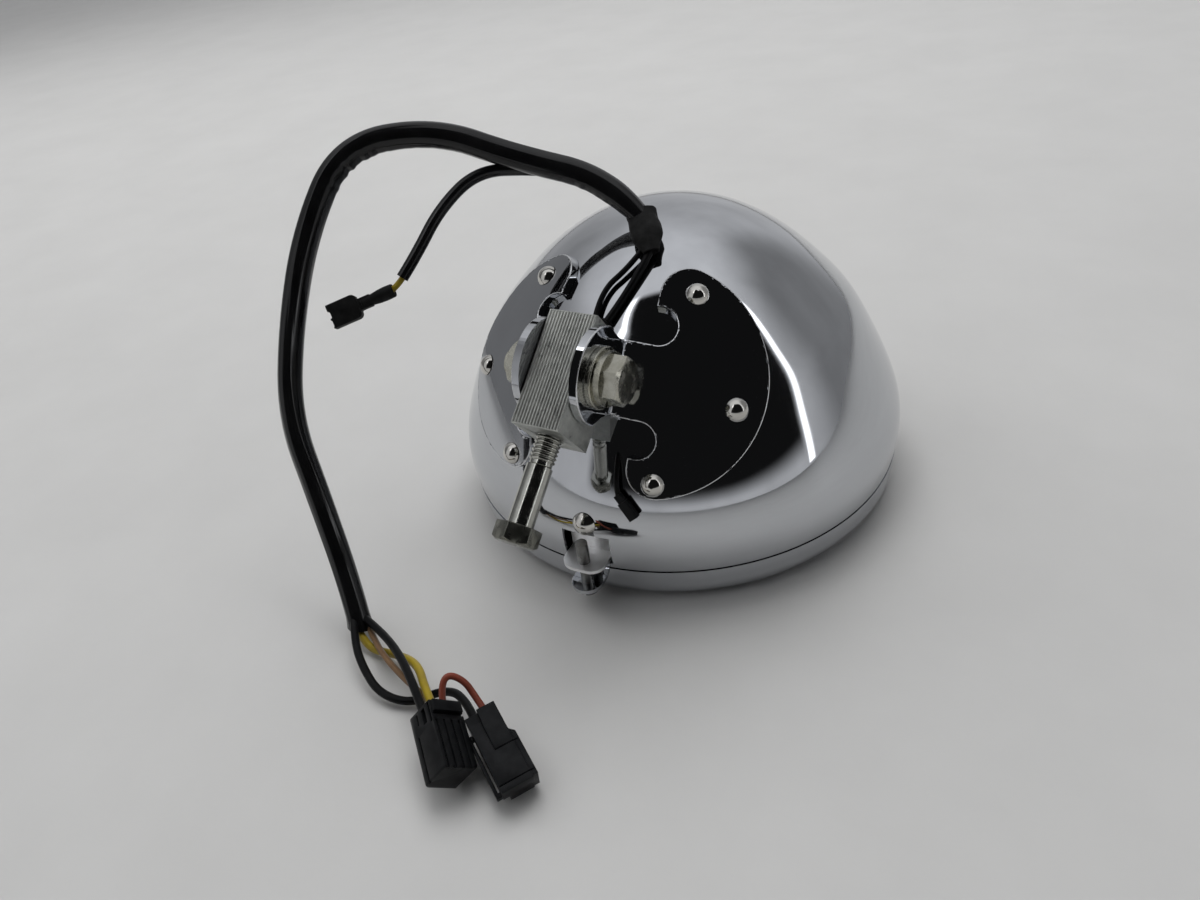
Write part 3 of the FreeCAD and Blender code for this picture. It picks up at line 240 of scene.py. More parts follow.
class ShaderDesk:
    """Lays out the nodes of one material."""

    def __init__(self, name: str) -> None:
        """Start a material with its principled shader.

        Args:
            name: Name of the material.
        """
        self.material = bpy.data.materials.new(name)
        self.material.use_nodes = True
        self.tree = self.material.node_tree
        self.shader = next(n for n in self.tree.nodes if n.type == "BSDF_PRINCIPLED")
        self.coords = self.tree.nodes.new("ShaderNodeTexCoord")
        self.normal: Socket | None = None

    def fix(self, **values: object) -> None:
        """Set constants on the shader's own sockets.

        Args:
            values: Socket names, with underscores for spaces, and their values.
        """
        for key, value in values.items():
            self.shader.inputs[key.replace("_", " ")].default_value = value

    def feed(self, socket: str, source: Socket) -> None:
        """Link a pattern to one of the shader's sockets."""
        self.tree.links.new(source, self.shader.inputs[socket])

    def _vector(self, node: bpy.types.Node, vector: Socket | None) -> None:
        """Give a texture node its coordinates, the object's own by default."""
        self.tree.links.new(vector or self.coords.outputs["Object"], node.inputs["Vector"])

    def mapped(self, scale: Point = (1, 1, 1), turn: Point = (0, 0, 0), shift: Point = (0, 0, 0),
               source: Coords = Coords.OBJECT) -> Socket:
        """Scale, turn and shift coordinates.

        Args:
            scale: Scale of each axis.
            turn: Rotation in radians.
            shift: Offset after scaling.
            source: Coordinates to start from.

        Returns:
            The vector socket.
        """
        node = self.tree.nodes.new("ShaderNodeMapping")
        node.inputs["Scale"].default_value = scale
        node.inputs["Rotation"].default_value = turn
        node.inputs["Location"].default_value = shift
        self.tree.links.new(self.coords.outputs[source.value], node.inputs["Vector"])
        return node.outputs["Vector"]

    def noise(self, scale: float, detail: float = 2.0, rough: float = 0.5,
              vector: Socket | None = None) -> Socket:
        """Cloudy pattern from 0 to 1.

        Args:
            scale: Clouds per metre.
            detail: Number of finer layers.
            rough: Weight of the finer layers.
            vector: Coordinates, the object's own by default.

        Returns:
            The factor socket.
        """
        node = self.tree.nodes.new("ShaderNodeTexNoise")
        node.inputs["Scale"].default_value = scale
        node.inputs["Detail"].default_value = detail
        node.inputs["Roughness"].default_value = rough
        self._vector(node, vector)
        return node.outputs[0]

    def bands(self, scale: float) -> Socket:
        """Parallel soft lines across X.

        Args:
            scale: Lines per metre over about three.

        Returns:
            The factor socket.
        """
        node = self.tree.nodes.new("ShaderNodeTexWave")
        node.bands_direction = "X"
        node.inputs["Scale"].default_value = scale
        self._vector(node, None)
        return node.outputs["Fac"]

    def ramp(self, factor: Socket, *stops: Stop) -> Socket:
        """Colours or grey values along a factor.

        Args:
            factor: Socket from 0 to 1.
            stops: Positions with a colour or one grey value.

        Returns:
            The colour socket.
        """
        node = self.tree.nodes.new("ShaderNodeValToRGB")
        elements = node.color_ramp.elements
        while len(elements) < len(stops):
            elements.new(1.0)
        for element, (place, value) in zip(elements, stops):
            tone = (value, value, value) if isinstance(value, (int, float)) else value
            element.position = place
            element.color = (*tone, 1.0)
        self.tree.links.new(factor, node.inputs["Fac"])
        return node.outputs["Color"]

    def cloud(self, socket: str, clouds: tuple[float, ...], *stops: Stop) -> None:
        """Feed a socket with values that change in clouds.

        Args:
            socket: Socket of the shader.
            clouds: Scale, detail and roughness of the clouds.
            stops: Positions in the clouds with their values.
        """
        self.feed(socket, self.ramp(self.noise(*clouds), *stops))

    def mix(self, factor: Socket, first: Socket, second: Colour) -> Socket:
        """Mix a pattern with one colour.

        Args:
            factor: Share of the colour.
            first: Pattern at 0.
            second: Colour at 1.

        Returns:
            The colour socket.
        """
        node = self.tree.nodes.new("ShaderNodeMix")
        node.data_type = "RGBA"
        self.tree.links.new(factor, node.inputs[0])
        self.tree.links.new(first, node.inputs[6])
        node.inputs[7].default_value = (*second, 1.0)
        return node.outputs[2]

    def bump(self, height: Socket, strength: float, depth: float) -> None:
        """Add a relief on top of those before it.

        Args:
            height: Height pattern from 0 to 1.
            strength: Share of the relief that shows.
            depth: Depth in metres.
        """
        node = self.tree.nodes.new("ShaderNodeBump")
        node.inputs["Strength"].default_value = strength
        node.inputs["Distance"].default_value = depth
        self.tree.links.new(height, node.inputs["Height"])
        if self.normal is not None:
            self.tree.links.new(self.normal, node.inputs["Normal"])
        self.normal = node.outputs["Normal"]
        self.feed("Normal", self.normal)


class Finish:
    """A finish whose material is made once and shared."""

    _made: dict[str, bpy.types.Material] = {}
    name: str

    def material(self) -> bpy.types.Material:
        """Make the material once.

        Returns:
            The finish's material.
        """
        if self.name not in Finish._made:
            desk = ShaderDesk(self.name)
            self.lay(desk)
            Finish._made[self.name] = desk.material
        return Finish._made[self.name]

    def lay(self, desk: ShaderDesk) -> None:
        """Lay the nodes of the finish.

        Args:
            desk: Desk with the finish's material.
        """
        raise NotImplementedError

    def dress(self, piece: Piece) -> None:
        """Put the finish on a piece in place of what it has.

        Args:
            piece: Piece to dress.
        """
        slots = piece.data.materials
        if len(slots) == 0:
            slots.append(self.material())
        for index in range(len(slots)):
            slots[index] = self.material()


@dataclass(frozen=True)
class Chrome(Finish):
    """Mirror chrome plate with faint smudges."""

    name: str = "bright_chrome"
    tone: Colour = (0.575, 0.588, 0.61)
    deep: Colour = (0.53, 0.542, 0.565)
    clean: float = 0.025
    smudged: float = 0.085

    def lay(self, desk: ShaderDesk) -> None:
        """Lay the nodes of the finish.

        Args:
            desk: Desk with the finish's material.
        """
        desk.fix(Metallic=1.0)
        desk.cloud("Base Color", (9.0, 3.0), (0.35, self.deep), (0.7, self.tone))
        wipes = desk.noise(26.0, 4.0, 0.6, desk.mapped((1.0, 2.4, 0.8), (0.3, 0.2, 0.7)))
        desk.feed("Roughness", desk.ramp(wipes, (0.42, self.clean), (0.74, self.smudged)))
        desk.bump(desk.noise(18.0, 1.0), 0.05, 0.0004)


@dataclass(frozen=True)
class Plating(Finish):
    """Zinc or nickel plate on steel hardware."""

    name: str = "zinc_plate"
    tone: Colour = (0.56, 0.555, 0.52)
    deep: Colour = (0.40, 0.39, 0.35)
    smooth: float = 0.2
    dull: float = 0.42
    grain: float = 420.0
    relief: float = 0.12

    def lay(self, desk: ShaderDesk) -> None:
        """Lay the nodes of the finish.

        Args:
            desk: Desk with the finish's material.
        """
        desk.fix(Metallic=1.0)
        desk.cloud("Base Color", (self.grain * 0.35, 4.0, 0.62), (0.32, self.deep), (0.66, self.tone))
        desk.cloud("Roughness", (self.grain, 3.0), (0.3, self.smooth), (0.75, self.dull))
        desk.bump(desk.noise(self.grain * 2.5, 3.0), self.relief, 0.0002)


@dataclass(frozen=True)
class BlockZinc(Finish):
    """Dull zinc of the mount block, specked and scuffed."""

    name: str = "block_zinc"
    tone: Colour = (0.61, 0.62, 0.585)
    deep: Colour = (0.45, 0.46, 0.435)
    speck: Colour = (0.12, 0.12, 0.12)

    def lay(self, desk: ShaderDesk) -> None:
        """Lay the nodes of the finish.

        Args:
            desk: Desk with the finish's material.
        """
        desk.fix(Metallic=0.85)
        base = desk.ramp(desk.noise(260.0, 5.0, 0.65), (0.32, self.deep), (0.68, self.tone))
        stains = desk.noise(120.0, 4.0, 0.7, desk.mapped(shift=(0.3, 0.1, 0.2)))
        desk.feed("Base Color", desk.mix(desk.ramp(stains, (0.63, 0.0), (0.74, 1.0)), base, self.speck))
        desk.cloud("Roughness", (700.0, 3.0), (0.3, 0.36), (0.75, 0.58))
        desk.bump(desk.noise(1400.0, 4.0, 0.7), 0.35, 0.00015)


@dataclass(frozen=True)
class Vinyl(Finish):
    """Black vinyl tubing, glossy with fine creases along it."""

    name: str = "loom_vinyl"
    tone: Colour = (0.0045, 0.0045, 0.005)
    pale: Colour = (0.010, 0.010, 0.0105)
    gloss: float = 0.10
    dull: float = 0.24

    def lay(self, desk: ShaderDesk) -> None:
        """Lay the nodes of the finish.

        Args:
            desk: Desk with the finish's material.
        """
        desk.fix(Specular_IOR_Level=0.4)
        along = desk.mapped((30.0, 14.0, 1.0), source=Coords.UV)
        desk.cloud("Base Color", (120.0, 3.0), (0.3, self.tone), (0.75, self.pale))
        desk.cloud("Roughness", (70.0, 4.0), (0.35, self.gloss), (0.75, self.dull))
        desk.bump(desk.noise(0.6, 2.0, 0.5, along), 0.22, 0.0005)


@dataclass(frozen=True)
class Rubber(Finish):
    """Matte black rubber or shrink tube."""

    name: str = "matte_rubber"
    tone: Colour = (0.006, 0.006, 0.006)
    pale: Colour = (0.015, 0.015, 0.015)
    smooth: float = 0.42
    dull: float = 0.66

    def lay(self, desk: ShaderDesk) -> None:
        """Lay the nodes of the finish.

        Args:
            desk: Desk with the finish's material.
        """
        desk.fix(Specular_IOR_Level=0.11)
        desk.cloud("Base Color", (300.0, 4.0, 0.6), (0.35, self.tone), (0.75, self.pale))
        desk.cloud("Roughness", (220.0, 3.0), (0.3, self.smooth), (0.75, self.dull))
        desk.bump(desk.noise(1500.0, 3.0), 0.22, 0.00012)


@dataclass(frozen=True)
class Moulding(Finish):
    """Moulded plastic of the connectors, satin with a fine grain."""

    name: str = "connector_plastic"
    tone: Colour = (0.0045, 0.0048, 0.0055)
    pale: Colour = (0.013, 0.0135, 0.0145)
    smooth: float = 0.30
    dull: float = 0.46

    def lay(self, desk: ShaderDesk) -> None:
        """Lay the nodes of the finish.

        Args:
            desk: Desk with the finish's material.
        """
        desk.fix(Specular_IOR_Level=0.16)
        desk.cloud("Base Color", (240.0, 5.0, 0.66), (0.38, self.tone), (0.8, self.pale))
        desk.cloud("Roughness", (380.0, 3.0), (0.3, self.smooth), (0.75, self.dull))
        desk.bump(desk.noise(2600.0, 2.0), 0.16, 0.00008)


@dataclass(frozen=True)
class Insulation(Finish):
    """Coloured wire insulation with handling dirt."""

    name: str
    tone: Colour
    dirt: Colour
    shine: float = 0.35

    def lay(self, desk: ShaderDesk) -> None:
        """Lay the nodes of the finish.

        Args:
            desk: Desk with the finish's material.
        """
        desk.fix(Specular_IOR_Level=self.shine)
        desk.cloud("Base Color", (190.0, 4.0, 0.65), (0.38, self.tone), (0.82, self.dirt))
        desk.cloud("Roughness", (260.0, 2.0), (0.3, 0.28), (0.75, 0.46))
        along = desk.mapped((10.0, 500.0, 1.0), source=Coords.UV)
        desk.bump(desk.noise(0.5, 2.0, 0.5, along), 0.12, 0.0002)


@dataclass(frozen=True)
class FlutedGlass(Finish):
    """Clear pressed glass with upright flutes on its inner face."""

    name: str = "lens_glass"
    flutes: float = 26.0

    def lay(self, desk: ShaderDesk) -> None:
        """Lay the nodes of the finish.

        Args:
            desk: Desk with the finish's material.
        """
        desk.fix(Transmission_Weight=1.0, IOR=1.5, Roughness=0.02)
        desk.cloud("Base Color", (30.0, 2.0), (0.3, (0.93, 0.96, 0.95)), (0.7, (0.97, 0.985, 0.98)))
        desk.bump(desk.bands(self.flutes), 0.5, 0.0012)
        desk.bump(desk.noise(60.0, 2.0), 0.06, 0.0004)


@dataclass(frozen=True)
class ClearGlass(Finish):
    """Thin clear glass of the bulb."""

    name: str = "bulb_glass"

    def lay(self, desk: ShaderDesk) -> None:
        """Lay the nodes of the finish.

        Args:
            desk: Desk with the finish's material.
        """
        desk.fix(Transmission_Weight=1.0, IOR=1.46, Roughness=0.01)
        desk.cloud("Base Color", (90.0, 2.0), (0.3, (0.95, 0.96, 0.97)), (0.7, (0.99, 0.99, 0.99)))
        desk.bump(desk.noise(80.0, 2.0), 0.05, 0.0003)


@dataclass(frozen=True)
class Aluminised(Finish):
    """Vapour-plated reflector."""

    name: str = "reflector_mirror"

    def lay(self, desk: ShaderDesk) -> None:
        """Lay the nodes of the finish.

        Args:
            desk: Desk with the finish's material.
        """
        desk.fix(Metallic=1.0)
        desk.cloud("Base Color", (14.0, 3.0), (0.3, (0.82, 0.83, 0.84)), (0.7, (0.9, 0.905, 0.91)))
        desk.cloud("Roughness", (40.0, 3.0), (0.35, 0.04), (0.75, 0.1))
        desk.bump(desk.noise(45.0, 2.0), 0.04, 0.0004)


BLACK_WIRE = Insulation("wire_black_vinyl", (0.003, 0.003, 0.0035), (0.008, 0.008, 0.008), 0.14)
YELLOW_WIRE = Insulation("wire_yellow_vinyl", (0.36, 0.265, 0.016), (0.24, 0.17, 0.02))
BROWN_WIRE = Insulation("wire_brown_vinyl", (0.20, 0.115, 0.055), (0.13, 0.075, 0.04))
RED_WIRE = Insulation("wire_red_vinyl", (0.22, 0.050, 0.030), (0.14, 0.04, 0.026))


class Bench:
    """Modelling moves that the sub-assemblies share."""

    @staticmethod
    def clear() -> None:
        """Leave edit mode and deselect everything."""
        if bpy.context.object is not None and bpy.context.object.mode != "OBJECT":
            bpy.ops.object.mode_set(mode="OBJECT")
        bpy.ops.object.select_all(action="DESELECT")

    @staticmethod
    def take(piece: Piece) -> None:
        """Select one piece alone and make it active.

        Args:
            piece: Piece to take.
        """
        Bench.clear()
        piece.select_set(True)
        bpy.context.view_layer.objects.active = piece

    @staticmethod
    def unpick(piece: Piece, kind: Pick) -> None:
        """Take a piece with none of its edges or faces selected.

        Args:
            piece: Piece to take.
            kind: What will be picked next.
        """
        Bench.take(piece)
        bpy.ops.object.mode_set(mode="EDIT")
        bpy.ops.mesh.select_mode(type=kind.value)
        bpy.ops.mesh.select_all(action="DESELECT")
        bpy.ops.object.mode_set(mode="OBJECT")

    @staticmethod
    def adopt(name: str) -> Piece:
        """Name the primitive just added and set its place in its mesh.

        Args:
            name: Name of the piece.

        Returns:
            The piece.
        """
        piece = bpy.context.active_object
        piece.name = name
        piece.data.name = name
        bpy.ops.object.transform_apply(location=True, rotation=True, scale=True)
        return piece

    @staticmethod
    def turn(name: str, profile: list[Ring], segments: int = 96) -> Piece:
        """Raise a turned form ring by ring from a circle about the Z axis.

        Args:
            name: Name of the piece.
            profile: Radius and height of each ring, in millimetres.
            segments: Number of points in a ring.

        Returns:
            The piece, closed where the profile meets itself or the axis.
        """
        rings = [(max(r, TINY), z) for r, z in profile]
        radius, height = rings[0]
        Bench.clear()
        bpy.ops.mesh.primitive_circle_add(vertices=segments, radius=radius * MM, location=(0, 0, height * MM))
        piece = Bench.adopt(name)
        bpy.ops.object.mode_set(mode="EDIT")
        bpy.ops.mesh.select_mode(type=Pick.EDGES.value)
        bpy.ops.mesh.select_all(action="SELECT")
        for r, z in rings[1:]:
            bpy.ops.mesh.extrude_edges_move(TRANSFORM_OT_translate={"value": (0, 0, (z - height) * MM)})
            bpy.ops.transform.resize(value=(r / radius, r / radius, 1), center_override=(0, 0, z * MM))
            radius, height = r, z
        bpy.ops.mesh.select_all(action="SELECT")
        bpy.ops.mesh.remove_doubles(threshold=3 * TINY * MM)
        bpy.ops.mesh.normals_make_consistent(inside=False)
        Bench.clear()
        return piece

    @staticmethod
    def smooth(piece: Piece, angle: float) -> None:
        """Shade a piece smooth.

        Args:
            piece: Piece to shade.
            angle: Greatest angle between faces that is smoothed, in degrees.
        """
        Bench.take(piece)
        bpy.ops.object.shade_smooth_by_angle(angle=math.radians(angle))
        Bench.clear()

    @staticmethod
    def place(piece: Piece, matrix: Matrix) -> Piece:
        """Put a piece in place and apply the place to its mesh.

        Args:
            piece: Piece modelled at the origin.
            matrix: Where it goes, in metres.

        Returns:
            The piece.
        """
        piece.matrix_world = matrix
        Bench.take(piece)
        bpy.ops.object.transform_apply(location=True, rotation=True, scale=True)
        Bench.clear()
        return piece

    @staticmethod
    def apply(piece: Piece) -> None:
        """Apply every modifier of a piece in order.

        Args:
            piece: Piece with modifiers.
        """
        Bench.take(piece)
        for modifier in list(piece.modifiers):
            bpy.ops.object.modifier_apply(modifier=modifier.name)
        Bench.clear()

    @staticmethod
    def box(name: str, low: Point, high: Point) -> Piece:
        """Box between two corners.

        Args:
            name: Name of the piece.
            low: Least corner, in millimetres.
            high: Greatest corner, in millimetres.

        Returns:
            The piece.
        """
        Bench.clear()
        bpy.ops.mesh.primitive_cube_add(
            size=1.0, location=[(a + b) / 2 * MM for a, b in zip(low, high)],
            scale=[(b - a) * MM for a, b in zip(low, high)])
        return Bench.adopt(name)

    @staticmethod
    def along(start: Point, end: Point, side: Point) -> Matrix:
        """Frame with its Z axis from one point to another.

        Args:
            start: Where the frame stands, in millimetres.
            end: Where its Z axis points, in millimetres.
            side: Direction near its X axis.

        Returns:
            The frame, in metres.
        """
        way = (Vector(end) - Vector(start)).normalized()
        across = (Vector(side) - way * way.dot(Vector(side))).normalized()
        turn = Matrix((across, way.cross(across), way)).transposed().to_4x4()
        return Matrix.Translation(Vector(start) * MM) @ turn

    @staticmethod
    def round_edges(piece: Piece, chosen: Callable[[Vector, Vector], bool], width: float,
                    segments: int = 4) -> None:
        """Bevel some edges of a piece.

        Args:
            piece: Piece to bevel.
            chosen: Test of an edge's two ends, in millimetres.
            width: Width of the bevel, in millimetres.
            segments: Faces across the bevel.
        """
        Bench.unpick(piece, Pick.EDGES)
        spots = piece.data.vertices
        for edge in piece.data.edges:
            edge.select = chosen(*(spots[i].co / MM for i in edge.vertices))
        bpy.ops.object.mode_set(mode="EDIT")
        bpy.ops.mesh.bevel(offset=width * MM, segments=segments, affect="EDGES")
        Bench.clear()

    @staticmethod
    def copy_of(node: str, name: str) -> Piece:
        """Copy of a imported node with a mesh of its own, its points merged.

        Args:
            node: Name of the node.
            name: Name of the piece.

        Returns:
            The piece, with its place in its mesh.
        """
        source = frame["nodes"][node]
        mesh = source.data.copy()
        mesh.name = name
        mesh.transform(source.matrix_world)
        piece = bpy.data.objects.new(name, mesh)
        bpy.context.scene.collection.objects.link(piece)
        Bench.take(piece)
        bpy.ops.object.mode_set(mode="EDIT")
        bpy.ops.mesh.select_all(action="SELECT")
        bpy.ops.mesh.remove_doubles(threshold=TINY * MM)
        bpy.ops.mesh.tris_convert_to_quads(face_threshold=math.radians(2), shape_threshold=math.radians(180))
        Bench.clear()
        return piece

    @staticmethod
    def rim(piece: Piece, facing: Vector, width: float, slot: int) -> None:
        """Round off the outline of the face that looks one way.

        Args:
            piece: Piece whose face is meant.
            facing: Where the face looks.
            width: Width of the rounding, in millimetres.
            slot: Material slot of the rounding, which the plates fill with a paler metal as a painted highlight.
        """
        Bench.unpick(piece, Pick.FACES)
        seed = max(piece.data.polygons, key=lambda face: face.normal.dot(facing) + face.center.dot(facing))
        seed.select = True
        bpy.ops.object.mode_set(mode="EDIT")
        bpy.ops.mesh.faces_select_linked_flat(sharpness=SAME_FACE)
        bpy.ops.mesh.inset(thickness=2 * width * MM, use_boundary=True, use_even_offset=False)
        bpy.ops.mesh.faces_select_linked_flat(sharpness=SAME_FACE)
        bpy.ops.mesh.region_to_loop()
        bpy.ops.mesh.bevel(offset=width * MM, segments=2, affect="EDGES", material=slot)
        Bench.clear()

    @staticmethod
    def ease(piece: Piece, width: float, segments: int, angle: float) -> None:
        """Round off a piece's sharp edges.

        Args:
            piece: Piece to round off.
            width: Width of the rounding, in millimetres.
            segments: Faces across the rounding.
            angle: Least angle of an edge that counts as sharp, in degrees.
        """
        modifier = piece.modifiers.new("ease", "BEVEL")
        modifier.width = width * MM
        modifier.segments = segments
        modifier.limit_method = "ANGLE"
        modifier.angle_limit = math.radians(angle)
        modifier.use_clamp_overlap = False
        Bench.apply(piece)

    @staticmethod
    def cut(piece: Piece, tool: Piece, way: Work = Work.CUT) -> None:
        """Work on a piece with a tool, which is used up.

        Args:
            piece: Piece to work on.
            tool: Solid to work with.
            way: What the tool does.
        """
        modifier = piece.modifiers.new("cut", "BOOLEAN")
        modifier.operation = way.value
        modifier.solver = "EXACT"
        modifier.object = tool
        Bench.apply(piece)
        bpy.data.objects.remove(tool)

    @staticmethod
    def dress_nodes(finishes: dict[str, Finish]) -> None:
        """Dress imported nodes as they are.

        Args:
            finishes: Names of the nodes with their finishes.
        """
        for node, finish in finishes.items():
            finish.dress(frame["nodes"][node])
            LOG.info("dressed %s", node)


def spline_through(points: list[Ring], first: Ring, last: Ring,
                   count: int) -> list[Ring]:
    """Smooth profile through points, with even curvature and given end directions.

    Args:
        points: Radius and height of the points.
        first: Direction at the first point.
        last: Direction at the last point.
        count: Number of points to return.

    Returns:
        Points along the profile.
    """
    p = np.array(points, float)
    h = np.linalg.norm(np.diff(p, axis=0), axis=1)
    t = np.concatenate([[0.0], np.cumsum(h)])
    n = len(p)
    a = np.zeros((n, n))
    b = np.zeros((n, 2))
    a[0, 0] = a[-1, -1] = 1.0
    b[0] = np.array(first) / np.hypot(*first)
    b[-1] = np.array(last) / np.hypot(*last)
    for i in range(1, n - 1):
        a[i, i - 1], a[i, i], a[i, i + 1] = h[i], 2 * (h[i - 1] + h[i]), h[i - 1]
        b[i] = 3 * (h[i] * (p[i] - p[i - 1]) / h[i - 1] + h[i - 1] * (p[i + 1] - p[i]) / h[i])
    slopes = np.linalg.solve(a, b)
    found = []
    for x in np.linspace(0.0, t[-1], count):
        i = min(int(np.searchsorted(t, x, side="right")) - 1, n - 2)
        s = (x - t[i]) / h[i]
        spot = ((1 + 2 * s) * (1 - s) ** 2 * p[i] + s * (1 - s) ** 2 * h[i] * slopes[i]
                + s * s * (3 - 2 * s) * p[i + 1] + s * s * (s - 1) * h[i] * slopes[i + 1])
        found.append((float(spot[0]), float(spot[1])))
    return found


class SkyDesk:
    """Lays out nodes that work with the direction seen from the part, in degrees."""

    def __init__(self, tree: bpy.types.NodeTree, source: Coords) -> None:
        """Clear the tree and read the direction.

        Args:
            tree: Node tree of the world or of a material.
            source: Coordinates that hold the direction.
        """
        tree.nodes.clear()
        self.tree = tree
        self.place = self.node("ShaderNodeTexCoord").outputs[source.value]
        unit = self.node("ShaderNodeVectorMath")
        unit.operation = "NORMALIZE"
        tree.links.new(self.place, unit.inputs[0])
        self.unit = unit.outputs[0]
        parts = self.node("ShaderNodeSeparateXYZ")
        tree.links.new(self.unit, parts.inputs[0])
        x, y, z = parts.outputs
        degrees = math.degrees(1.0)
        self.turn = self.product(self.sum_up(Step.ARC_TANGENT, x, self.product(y, -1.0)), degrees)
        self.height = self.product(self.sum_up(Step.ARC_SINE, z), degrees)

    def node(self, kind: str) -> bpy.types.Node:
        """One new node of a kind."""
        return self.tree.nodes.new(kind)

    def put(self, slot: Socket, source: Socket | float) -> None:
        """Link a socket to a slot, or set a number on it.

        Args:
            slot: Slot of a node.
            source: Socket or number that goes in.
        """
        if isinstance(source, (int, float)):
            slot.default_value = source
        else:
            self.tree.links.new(source, slot)

    def sum_up(self, step: Step, *sources: Socket | float) -> Socket:
        """Do one step of arithmetic.

        Args:
            step: What is done.
            sources: Sockets or numbers that go in.

        Returns:
            Socket with the result.
        """
        node = self.node("ShaderNodeMath")
        node.operation = step.value
        for slot, source in zip(node.inputs, sources):
            self.put(slot, source)
        return node.outputs[0]

    def product(self, *sources: Socket | float) -> Socket:
        """Multiply any number of sources.

        Args:
            sources: Sockets or numbers, a socket first.

        Returns:
            Socket with the product.
        """
        whole = sources[0]
        for source in sources[1:]:
            whole = self.sum_up(Step.TIMES, whole, source)
        return whole

    def rise(self, source: Socket, low: float, high: float) -> Socket:
        """Make a soft step from 0 to 1.

        Args:
            source: What is measured.
            low: Measure at which the step leaves 0.
            high: Measure at which it reaches 1.

        Returns:
            Socket with the step.
        """
        node = self.node("ShaderNodeMapRange")
        node.interpolation_type = "SMOOTHSTEP"
        node.inputs["From Min"].default_value = low
        node.inputs["From Max"].default_value = high
        self.tree.links.new(source, node.inputs["Value"])
        return node.outputs["Result"]

    def band(self, source: Socket, start: float, edges: Edges) -> Socket:
        """Make a band with soft edges.

        Args:
            source: What is measured.
            start: Measure that the edges count from.
            edges: Where the band leaves 0, reaches 1, leaves 1 and reaches 0.

        Returns:
            Socket with the band.
        """
        a, b, c, d = (start + edge for edge in edges)
        return self.product(self.rise(source, a, b), self.rise(source, d, c))

    def leaning(self, slope: float) -> Socket:
        """Turn that leans over with height by a slope."""
        return self.sum_up(Step.TAKE, self.turn, self.product(self.height, slope))

    def facing(self, way: Vector) -> Socket:
        """Measure how far the direction faces one way.

        Args:
            way: The way.

        Returns:
            Socket with the measure.
        """
        node = self.node("ShaderNodeVectorMath")
        node.operation = "DOT_PRODUCT"
        self.tree.links.new(self.unit, node.inputs[0])
        node.inputs[1].default_value = way
        return node.outputs["Value"]

    def glow(self, kind: str, tint: Colour, level: Socket | float) -> Socket:
        """Add a node that gives light.

        Args:
            kind: Background or emission node.
            tint: Colour of the light.
            level: Its strength.

        Returns:
            The node's shader socket.
        """
        node = self.node(kind)
        node.inputs["Color"].default_value = (*tint, 1.0)
        self.put(node.inputs["Strength"], level)
        return node.outputs[0]

    def join(self, kind: str, *sources: Socket) -> Socket:
        """Add a node that takes shaders in.

        Args:
            kind: Kind of the node.
            sources: Sockets for its inputs, in order.

        Returns:
            The node's shader socket.
        """
        node = self.node(kind)
        for slot, source in zip(node.inputs, sources):
            self.tree.links.new(source, slot)
        return node.outputs[0] if node.outputs else sources[0]


@dataclass(frozen=True)
class Lamp:
    """Soft square lamp that looks at the part, out of the mirrors' sight."""

    name: str
    place: Point
    size: float
    power: float
    aim: Point = (0, 0, 0.05)

    def hang(self) -> None:
        """Hang the lamp."""
        data = bpy.data.lights.new(self.name, "AREA")
        data.shape = "SQUARE"
        data.size = self.size
        data.energy = self.power
        lamp = bpy.data.objects.new(self.name, data)
        lamp.visible_glossy = False
        lamp.location = self.place
        lamp.rotation_mode = "QUATERNION"
        lamp.rotation_quaternion = (Vector(self.aim) - Vector(self.place)).to_track_quat("-Z", "Y")
        bpy.context.scene.collection.objects.link(lamp)


